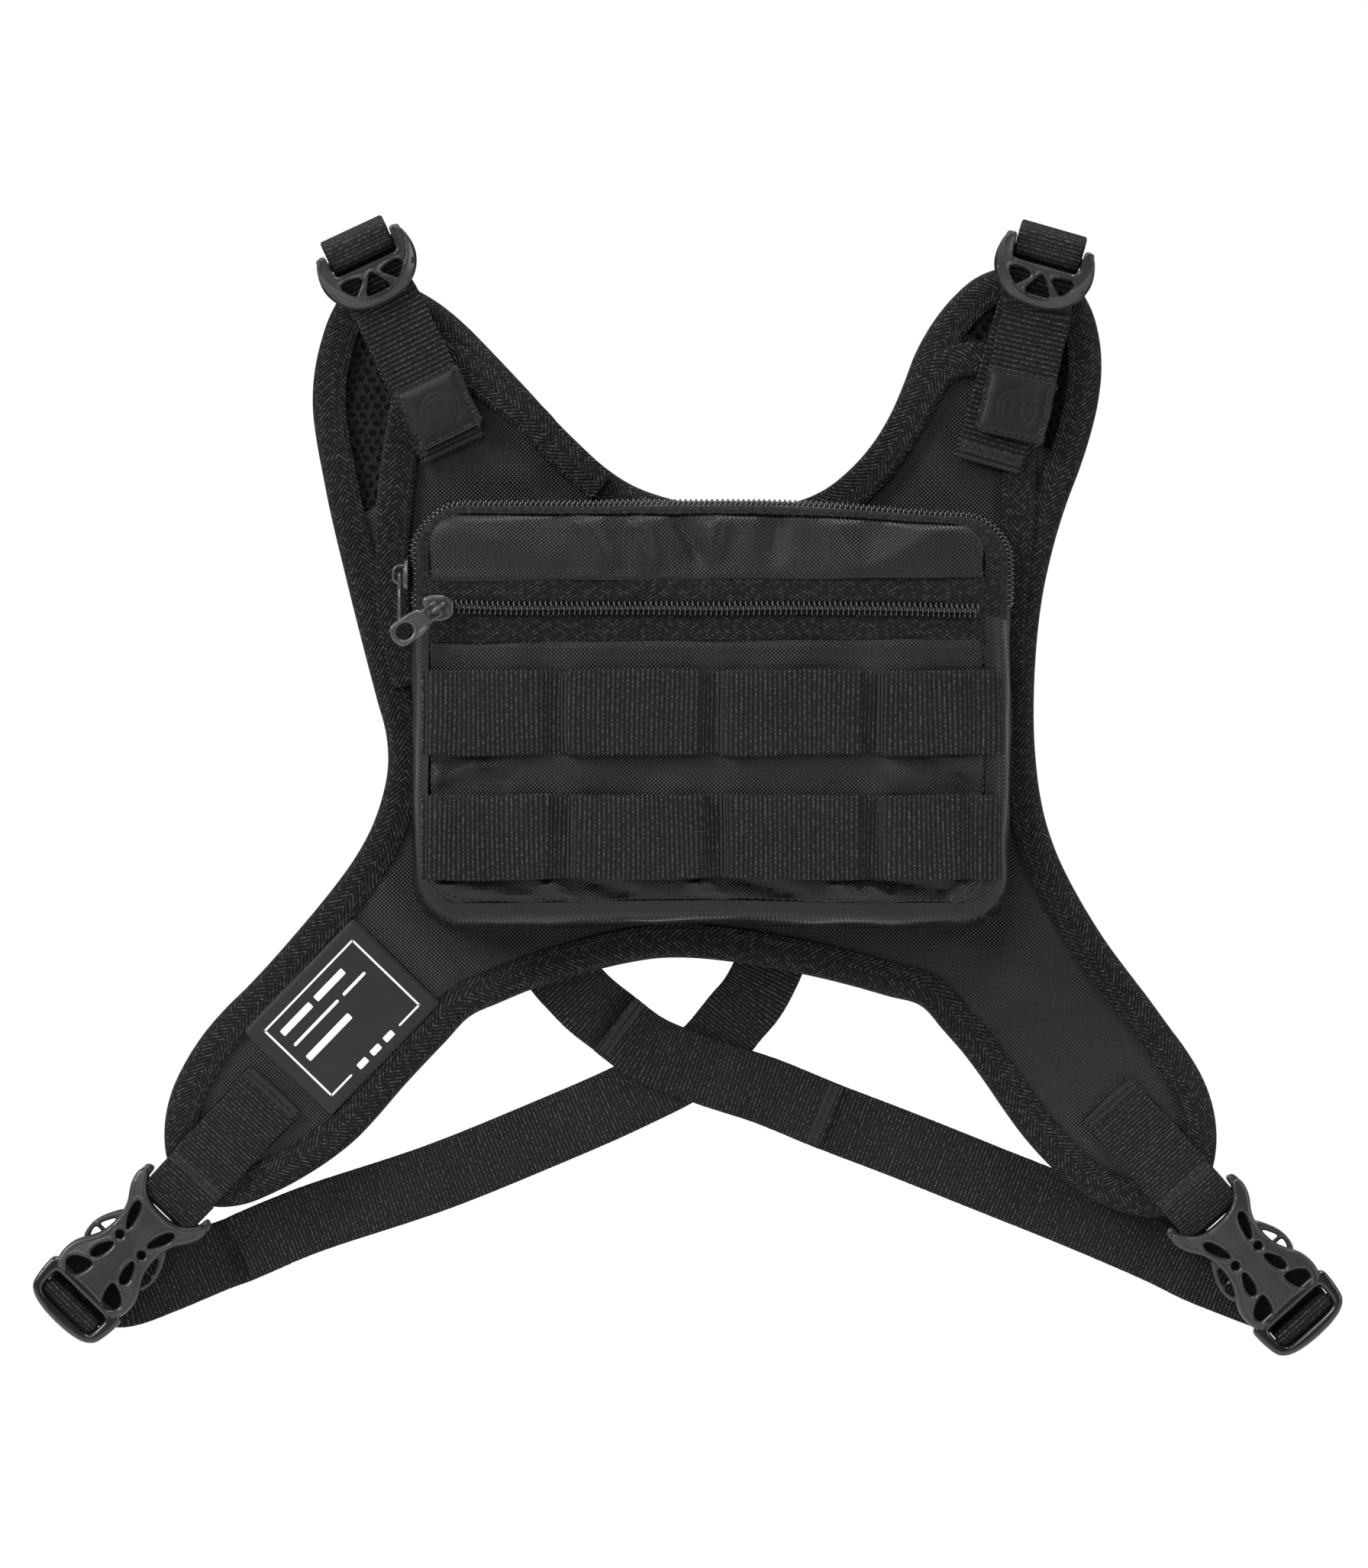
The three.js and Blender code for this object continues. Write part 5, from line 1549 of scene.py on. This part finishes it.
def make_patch(side):
    """The soft end patch sewn over the strap's tail, with a plain embossed ring."""
    place = SHOULDERS[side]
    tail, foot = place["tail"], place["patch_foot"]
    start, end, half = foot - 24.5, foot, 12.9
    loop = curve(rounded_rectangle(start, end, -half, half, 2.6, steps=4), 0.7, closed=True, corners=True)
    loop[:, 1] += 0.5 * np.array([noise.noise(Vector((x / 7.0, y / 7.0, 2.0))) for x, y in loop])
    middle = (start + end) / 2 + 1

    def top(x, y, d):
        away = np.hypot(x - middle, y)
        pad_up = 0.5 * smoothstep(0, 5, d) * (1 + 0.25 * cloud(np.column_stack([x, y]), 8.0, 4.0))
        ring = 0.12 * np.exp(-((away - 7.2) / 0.55) ** 2) + 0.08 * np.exp(-((away - 5.2) / 0.4) ** 2)
        bars = 0.08 * np.exp(-((np.abs(y) - 2.0) / 0.5) ** 4) * (np.abs(x - middle) < 2.6)
        dent = 0.4 * np.exp(-((d - 1.7) / 0.55) ** 2)
        return PATCH_FRONT + 0.15 + pad_up - edge_drop(d, 0.7) - ring - bars - dent

    piece = plate(f"end_patch_{side}", [loop], 0.55, top, face(PATCH_BACK - 0.1, 0.3, -1), tail, relax=3)
    done(piece, LEATHER, replaces=[f"tail_patch_{side}"])
    line = inset(anticlockwise(loop), 1.7)
    row = tail.points(np.column_stack([line, np.full(len(line), PATCH_FRONT + 0.12)]))
    done(seam(f"patch_stitches_{side}", row, pitch=2.5, length=2.0, radius=0.24), THREAD)


def bar(name, local, s, z, radius, half, sides=20):
    """A round crossbar with softened ends."""
    line = np.array([(s, t, z) for t in np.linspace(-half, half, 9)])
    turn = np.linspace(0, TURN, sides, endpoint=False)
    ends = [0.72, 1, 1, 1, 1, 1, 1, 1, 0.72]
    points = [(p[0] + radius * k * math.cos(a), p[1], p[2] + radius * k * math.sin(a))
              for p, k in zip(line, ends) for a in turn]
    piece = piece_from(name, local.points(points), capped_faces(len(line), sides))
    bmesh_outward(piece)
    return piece


def make_lock(side):
    """A ladder lock: a crescent of plastic with lightening holes, two cheeks and two bars."""
    lock = LOCKS[side]
    roof_back, roof_front = LOCK_Z + 4.0, LOCK_Z + 6.8
    half = curve([(14.8, 0.0), (14.9, 6.0), (14.7, 10.8), (13.4, 12.3), (9.0, 12.65), (6.6, 12.75),
                  (5.6, 13.6), (6.0, 15.4), (9.0, 17.3), (14.0, 18.3), (19.0, 17.8), (24.0, 15.2),
                  (27.8, 10.6), (29.7, 5.0), (30.2, 0.0)], 0.6)
    hole = curve([(17.9, 11.4), (17.6, 8.0), (18.4, 4.6), (19.8, 4.3), (22.4, 6.8), (23.6, 8.2), (22.6, 9.8),
                  (19.6, 11.8)], 0.5, closed=True)
    middle = curve([(18.2, 0.0), (19.0, 1.1), (22.2, 3.3), (24.6, 4.5), (25.7, 3.6), (25.8, 0.0)], 0.5)
    loops = [mirrored(half), hole, hole * np.array([1, -1]), mirrored(middle)]

    def top(x, y, d):
        away = np.hypot((x - 8.0) * 0.98, y * 1.08)
        sloped = 2.1 * np.clip((away - 18.4) / 3.2, 0, 1)
        shelf = 0.55 * smoothstep(18.2, 18.8, away)
        crown = 0.5 * np.cos(np.clip(y / 18, -1, 1) * math.pi / 2)
        rim = 0.3 * np.exp(-((d - 0.8) / 0.4) ** 2) * (away < 18)
        return roof_front - 0.2 + crown - sloped - shelf + rim - edge_drop(d, 0.7)

    roof = plate("roof", loops, 0.5, top, face(roof_back, 0.5, -1), lock, relax=4)
    cheeks = []
    for hand in (-1, 1):
        loop = spaced(box_loop(5.6, 21.6, *sorted((13.3 * hand, 16.6 * hand)), 1.4), 0.7, closed=True)
        cheeks.append(plate("cheek", [loop], 0.8, face(roof_back + 0.9, 0.4), face(LOCK_Z - 2.5, 0.9, -1),
                            lock, relax=3))
    bars = [bar("upper", lock, LOCK_BAR_S, LOCK_Z, 2.2, 14.0), bar("lower", lock, 18.0, LOCK_Z, 1.8, 14.0)]
    piece = joined(f"lock_{side}", [roof, *cheeks, *bars])
    done(piece, PLASTIC, body=f"ladder_lock_{side}", replaces=[f"ladder_lock_{side}"], degrees=42)


# ---- Buckles ----
BUCKLE_STRAPS = {"left": angled((-148.0, -110.9), 227.2), "right": angled((153.45, -114.45), -48)}
SOCKET_HALF, SOCKET_WALL = 5.5, 2.6
PLUG_HALF = 4.8
SOCKET_EDGE = [(6.2, 0.0), (6.0, 4.0), (4.8, 8.0), (2.4, 11.0), (-1.2, 13.3), (-1.9, 15.2), (-0.6, 16.6),
               (2.4, 16.7), (6.6, 15.2), (11.4, 12.0), (15.6, 10.6), (20.0, 10.2), (25.0, 10.8),
               (29.0, 12.4), (32.6, 14.6), (36.4, 16.0), (41.0, 16.2), (45.4, 15.0), (46.6, 13.4),
               (45.8, 9.4), (45.0, 5.0), (44.8, 0.0)]
SOCKET_HOLES = [
    [(13.5, 6.9), (5.3, 1.55), -21, 0.25],
    [(22.0, 5.5), (1.45, 1.45), 0, 0.0],
    [(30.2, 6.4), (4.5, 1.7), 17, -0.3],
    [(40.2, 8.4), (4.7, 3.0), 40, -0.45],
]
ARM_EDGE = [(43.2, 4.9), (45.8, 5.6), (46.3, 6.6), (45.8, 7.8), (40.4, 8.6), (36.6, 9.4), (34.0, 10.8),
            (32.6, 13.2), (30.4, 15.0), (26, 15.6), (22, 14.8), (18, 13.0), (15.0, 11.2), (14.2, 9.8),
            (15.6, 8.7), (19, 8.6), (30, 7.9), (36, 6.4)]
ARM_WINDOWS = [[(19.0, 10.5), (21.6, 12.2), (24.2, 13.2), (24.4, 11.6), (24.1, 10.2), (21.4, 10.1)],
               [(26.0, 13.5), (28.4, 13.6), (30.0, 12.5), (29.3, 10.1), (27.4, 9.7), (26.1, 10.1)]]
HANDS = {("left", "upper"): -1, ("left", "lower"): 1, ("right", "upper"): 1, ("right", "lower"): -1}


def make_socket(side):
    local = BUCKLES[side]
    loop = mirrored(curve(SOCKET_EDGE, 0.8))
    holes = [spaced(oval(*middle, *size, turn, point=point), 0.5, closed=True) * np.array([1, hand])
             for middle, size, turn, point in SOCKET_HOLES for hand in (1, -1)]
    front, back = BUCKLE_Z + SOCKET_HALF, BUCKLE_Z - SOCKET_HALF

    def top(x, y, d):
        crown = 1.5 * (1 - (np.clip(np.abs(y) / 16, 0, 1)) ** 2)
        waist = 0.8 * np.exp(-((x - 21) / 9.0) ** 2)
        ridge = 0.2 * np.exp(-((d - 1.0) / 0.5) ** 2) * (x > 4)
        return front - 0.8 + crown - waist + ridge - edge_drop(d, 1.3)

    def under(x, y, d):
        return back + 0.3 * np.clip(np.abs(y) / 14, 0, 1) + edge_drop(d, 1.2)

    ceiling = front - SOCKET_WALL
    roof = plate("roof", [loop, *holes], 0.5, top, face(ceiling), local, relax=4)
    floor = plate("floor", [loop], 1.0, face(back + SOCKET_WALL), under, local, relax=3)
    horns = []
    for hand in (-1, 1):
        horn = np.array([(-3, 13.1), (-4, 14.8), (-2.6, 16.4), (2, 16.3), (8, 13.7), (11.2, 11), (8.6, 9.2),
                         (7.3, 12.2)]) * np.array([1, hand])
        horn = curve(anticlockwise(horn), 0.7, closed=True)
        horns.append(plate("horn", [horn], 0.8, face(front - 1.6, 0.4), face(back + 1.4, 0.4, -1), local,
                           relax=3))
    web = plate("web", [spaced(box_loop(9, 11.9, -9.4, 9.4), 0.8, closed=True)], 0.8, face(ceiling + 0.2),
                face(back + SOCKET_WALL - 0.2), local, relax=2)
    # Painted shade: a near-black sheet under the roof makes its holes look deep and dark.
    shade = plate("shade", [inset(spaced(loop, 1.0, closed=True), 1.2)], 1.0, face(ceiling + 0.35),
                  face(ceiling - 0.05), local, relax=2)
    shade.name = f"socket_hole_shade_{side}"
    done(shade, HOLE_SHADE)
    piece = joined(f"socket_{side}", [roof, floor, *horns, web, bar("bar", local, 1.5, BUCKLE_Z, 2.2, 14.0)])
    done(piece, PLASTIC, replaces=[f"buckle_socket_{side}"], degrees=42)


def make_plug(side):
    local = BUCKLES[side]
    loop = mirrored(curve([(43.0, 0.0), (43.0, 8.0), (43.2, 14.2), (44.6, 16.9), (47.6, 17.2), (52.0, 16.8),
                           (56.6, 15.6), (59.4, 12.2), (60.8, 6.5), (61.2, 0.0)], 0.6))
    slot = mirrored(curve([(47.4, 0.0), (47.4, 8.0), (47.6, 11.8), (48.8, 12.6), (52.0, 12.6), (54.6, 12.3),
                           (56.4, 10.8), (57.0, 6.0), (57.1, 0.0)], 0.6))

    def top(x, y, d):
        return BUCKLE_Z + PLUG_HALF + 0.1 - edge_drop(d, 1.35)

    rim = plate("rim", [loop, slot], 0.5, top, lambda x, y, d: 2 * BUCKLE_Z - top(x, y, d), local, relax=3)
    tongue = plate("tongue", [spaced(box_loop(20, 47.8, -2.4, 2.4, 1.0), 0.8, closed=True)], 0.8,
                   face(BUCKLE_Z + 2.4, 0.7), face(BUCKLE_Z - 2.4, 0.7, -1), local, relax=2)
    cross = bar("bar", local, 53.4, BUCKLE_Z, 1.8, 14.4)
    piece = joined(f"plug_{side}", [rim, tongue, cross])
    done(piece, GLOSS, body=f"buckle_plug_{side}", replaces=[f"buckle_plug_{side}"], degrees=42)


def make_arm(side, end):
    hand = np.array([1, HANDS[side, end]])
    loops = [curve(ARM_EDGE, 0.6, closed=True) * hand]
    loops += [curve(window, 0.45, closed=True) * hand for window in ARM_WINDOWS]

    def top(x, y, d):
        return BUCKLE_Z + 2.4 - edge_drop(d, 0.9) + 0.35 * smoothstep(0.8, 2.2, d)

    arm = plate("arm", loops, 0.5, top, lambda x, y, d: 2 * BUCKLE_Z - top(x, y, d), BUCKLES[side], relax=3)
    arm.name = f"arm_{side}_{end}"
    done(arm, PLASTIC, body=f"release_arm_{side}_{end}", replaces=[f"release_arm_{side}_{end}"],
         degrees=42)


def make_buckle_strap(side):
    """The short strap sewn to the vest's corner that holds the socket's bar."""
    place, buckle = BUCKLE_STRAPS[side], BUCKLES[side]
    reach = float(np.linalg.norm(buckle.at - place.at)) + 1.5
    over_z = 10.9
    stations = place.stations([(0, 9.7), (20, 9.8), (27, over_z + 0.9), (40, over_z + 0.4),
                               (reach - 8, over_z)])
    stations += buckle.stations([*arc(1.5, BUCKLE_Z, 3.3, 62, -90), (-0.6, BUCKLE_Z - 3.3),
                                 (-4.5, BUCKLE_Z - 2.2), (-8.5, BUCKLE_Z + 0.6)])
    piece = strap(f"corner_strap_{side}", stations, CORNER_WIDE, WEB, pitch=1.38, rib=0.2, seed=7.0)
    done(piece, WEB_FINE, replaces=[f"buckle_strap_{side}"])
    length_of(stations)
    rows = [bar_tack("tack", *place.edges(s, z, 11.6), rows=2)
            for s, z in ((2.2, 10.65), (reach - 14, over_z + 1.0))]
    done(joined(f"corner_tacks_{side}", rows), THREAD)


# ---- Straps across the back ----
BACK_TO_RIGHT = [(-130, -156.4), (-90, -143.2), (-50, -127), (-20, -113.8), (4, -101), (18, -86),
                 (30, -68.4), (52, -14), (82, 66), (108, 136), (127, 176)]
BACK_TO_LEFT = [(140, -155.5), (110, -143.5), (80, -131.5), (50, -120), (30, -111.8), (8, -104.6),
                (-12, -96.8), (-25, -87.5), (-38, -76.5), (-52, -58), (-66, -20), (-84, 50), (-102, 130),
                (-112, 176)]
BACK_Z, LOWER_Z = -2.2, -4.1
LOWER_WIDE = 24.6


def level_across(points):
    """Each station's width direction, flat in the plane of the vest."""
    points = np.asarray(points, float)
    along = np.gradient(points, axis=0)
    across = np.column_stack([-along[:, 1], along[:, 0], np.zeros(len(points))])
    return across / np.linalg.norm(across, axis=1, keepdims=True)


def plug_end():
    """The strap's end on the plug: round its bar and back under itself."""
    return [(46.0, -2.4), (50.2, -1.9), *arc(53.4, BUCKLE_Z, 2.9, 230, -60, 9), (52.6, -3.9), (46, -4.6),
            (37, -4.6)]


def facing(local, width):
    """1 or -1, so that a strap's width keeps its direction as it enters a frame."""
    return 1.0 if width @ local.wide > 0 else -1.0


def make_back_strap(side):
    """From one buckle's plug, across the back, to the other side's ladder lock. The left buckle's strap
    is two lengths, one on the other, and the right one's is one."""
    other = "left" if side == "right" else "right"
    local, lock = BUCKLES[side], LOCKS[other]
    if side == "right":
        start, stop = np.array([150, -160, -2.2]), np.array([208, -185, -2.4])
        near = np.array([(211, -186, -2.4), (198, -181, -2.3), (186.5, -176.3, -2.2), (170, -168.3, -2.2)])
        far = np.array([(x, y, LOWER_Z if -28 < x < 36 else BACK_Z) for x, y in BACK_TO_LEFT], float)
        plain = np.vstack([near, far])
    else:
        start, stop = np.array([-165, -170, -2.2]), np.array([-200, -184, -2.4])
        near = np.array([(-204, -185.5, -2.4), (-190, -180.7, -2.4), (-181, -177, -2.8), (-170, -172.4, -4.4),
                         (-161, -169.1, -5.3), (-148, -163.4, -5.2)], float)
        plain = np.array([(-161.6, -169.2, BACK_Z + 0.1), (-158, -167.5, BACK_Z + 1.0),
                          (-146, -162.4, BACK_Z + 0.4), *[(x, y, BACK_Z) for x, y in BACK_TO_RIGHT]], float)
    widths, near_widths = level_across(plain), level_across(near)
    loop = [(17, -2.2), (8.6, -1.2), (3.4, 1.8), (0.9, 6.5), (1.4, 12), (3.9, LOCK_Z + 2.5),
            *arc(LOCK_BAR_S, LOCK_Z, 3.3, 110, -90), (5.5, LOCK_Z - 1.9)]
    loop = lock.stations(loop, facing(lock, widths[-1]))
    over = local.stations(plug_end()[::-1], facing(local, near_widths[0]))
    lengths = {f"back_strap_{side}": [*zip(plain, widths), *loop]}
    if side == "right":
        lengths[f"back_strap_{side}"] = [*over, *lengths[f"back_strap_{side}"]]
    else:
        lengths[f"plug_strap_{side}"] = [*over, *zip(near, near_widths)]
    cad = {f"back_strap_{side}": [f"back_strap_from_{side}_buckle"],
           f"plug_strap_{side}": [f"plug_webbing_{side}"]}
    if side == "right":
        cad[f"back_strap_{side}"] += cad[f"plug_strap_{side}"]
    for name, stations in lengths.items():
        blended_here = side == "right" or name.startswith("plug")
        seed = 11.0 if side == "left" else 13.0
        piece = strap(name, stations, LOWER_WIDE, WEB, pitch=1.4, rib=0.17, seed=seed)
        body = ("root", f"buckle_plug_{side}", start, stop) if blended_here else "root"
        done(piece, WEB_FINE, body=body, replaces=cad[name])
        length_of(stations)
    tack = bar_tack(f"plug_tack_{side}", *local.edges(38.6, -1.5, LOWER_WIDE / 2 - TACK_IN), rows=2)
    done(tack, THREAD, body=f"buckle_plug_{side}")


def make_keeper():
    """The strap's doubled length where the two cross, stitched at both ends."""
    z = sum(level("strap_keeper")) / 2
    route = np.array([(-25.5, -87.2, z), (-12, -96.8, z), (8, -104.6, z), (30, -111.8, z), (53.5, -121.4, z)])
    across = level_across(route)
    piece = strap("keeper", list(zip(route, across)), LOWER_WIDE, WEB * 0.9, pitch=1.4, rib=0.17, seed=17.0)
    done(piece, WEB_FINE, replaces=["strap_keeper"])
    run_of(route)[-1] * MM
    half = LOWER_WIDE / 2 - TACK_IN
    rows = []
    for at, side in ((route[-1], across[-1]), (route[0], across[0])):
        inward = (route.mean(0) - at) / np.linalg.norm(route.mean(0) - at)
        middle = at + inward * 3.2 + OUT * 0.75
        rows.append(bar_tack("tack", middle - side * half, middle + side * half, rows=2))
    done(joined("keeper_tacks", rows), THREAD)


# ---- The whole vest ----
make_pad()
make_pad_binding()
make_panel()
left_edge = inner_edge((-60, 130), (-24, 100))
make_panel_binding("left", [(-99.5, 36), (-105.5, 64), (-105, 98), (-99.5, 138), (-95, 150), (-86.5, 154.5),
                            (-77, 149), *left_edge], left_edge)
right_edge = inner_edge((24, 100), (76, 130))
make_panel_binding("right", [*right_edge, (90, 146.5), (98, 153), (107.5, 154), (116, 149.5), (121, 139),
                             (121.5, 100), (118, 62), (117.5, 42)], right_edge)
make_label()
make_pouch_walls()
make_lining()
make_front()
make_pocket_zip()
make_main_coil()
for end in ENDS:
    make_row(end)
slacken(POUCH_PIECES)
make_sliders()
for side in SIDES:
    make_anchor(side)
    make_patch(side)
    make_lock(side)
    make_socket(side)
    make_plug(side)
    make_buckle_strap(side)
    make_back_strap(side)
    for end in ENDS:
        make_arm(side, end)
make_keeper()


# ---- Camera, light and floor ----
DISTANCE = 5.0
# How much of the vest's plane the frame's longer side takes in, in metres.
VIEW_TALL = 0.5706


def make_camera():
    camera = bpy.data.objects.new("camera", bpy.data.cameras.new("camera"))
    camera.data.lens = camera.data.sensor_width * DISTANCE / VIEW_TALL
    camera.location = (0, -DISTANCE, 0)
    camera.rotation_euler = (math.pi / 2, 0, 0)
    bpy.context.scene.collection.objects.link(camera)
    bpy.context.scene.camera = camera


def make_light(name, place, size, power, target=(0, 0, 0)):
    lamp = bpy.data.lights.new(name, "AREA")
    lamp.shape = "RECTANGLE"
    lamp.size, lamp.size_y = size
    lamp.energy = power
    piece = bpy.data.objects.new(name, lamp)
    piece.location = place
    piece.rotation_euler = (Vector(target) - Vector(place)).to_track_quat("-Z", "Y").to_euler()
    bpy.context.scene.collection.objects.link(piece)


def make_world():
    world = bpy.data.worlds.new("studio")
    world.use_nodes = True
    tree = world.node_tree
    background = tree.nodes["Background"]
    path = tree.nodes.new("ShaderNodeLightPath")
    ahead = split(tree, tree.nodes.new("ShaderNodeTexCoord").outputs["Generated"])[1]
    around = blended(tree, ranged(tree, ahead, -0.75, 0.3), grey(0.07), grey(0.6))
    shade = blended(tree, path.outputs["Is Camera Ray"], around, grey(1.0))
    tree.links.new(shade, background.inputs["Color"])
    bpy.context.scene.world = world


def make_floor():
    bpy.ops.mesh.primitive_plane_add(size=2.4, location=(0, 0, -0.36))
    floor = bpy.context.object
    floor.name = "floor"
    pale = bpy.data.materials.new("pale_floor")
    pale.use_nodes = True
    shader = pale.node_tree.nodes["Principled BSDF"]
    shader.inputs["Base Color"].default_value = grey(0.85)
    shader.inputs["Roughness"].default_value = 0.8
    floor.data.materials.append(pale)
    floor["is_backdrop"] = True


make_camera()
make_light("key", (-1.9, -1.15, 1.35), (0.9, 1.1), 70)
make_light("fill", (2.0, -1.0, 0.4), (0.7, 1.4), 22)
make_light("top", (0.3, -0.2, 2.0), (1.3, 0.4), 40)
make_light("front", (-0.9, -3.1, 1.3), (1.5, 1.5), 34)
make_world()
make_floor()
bpy.context.scene.view_settings.view_transform = "Standard"
low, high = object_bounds()
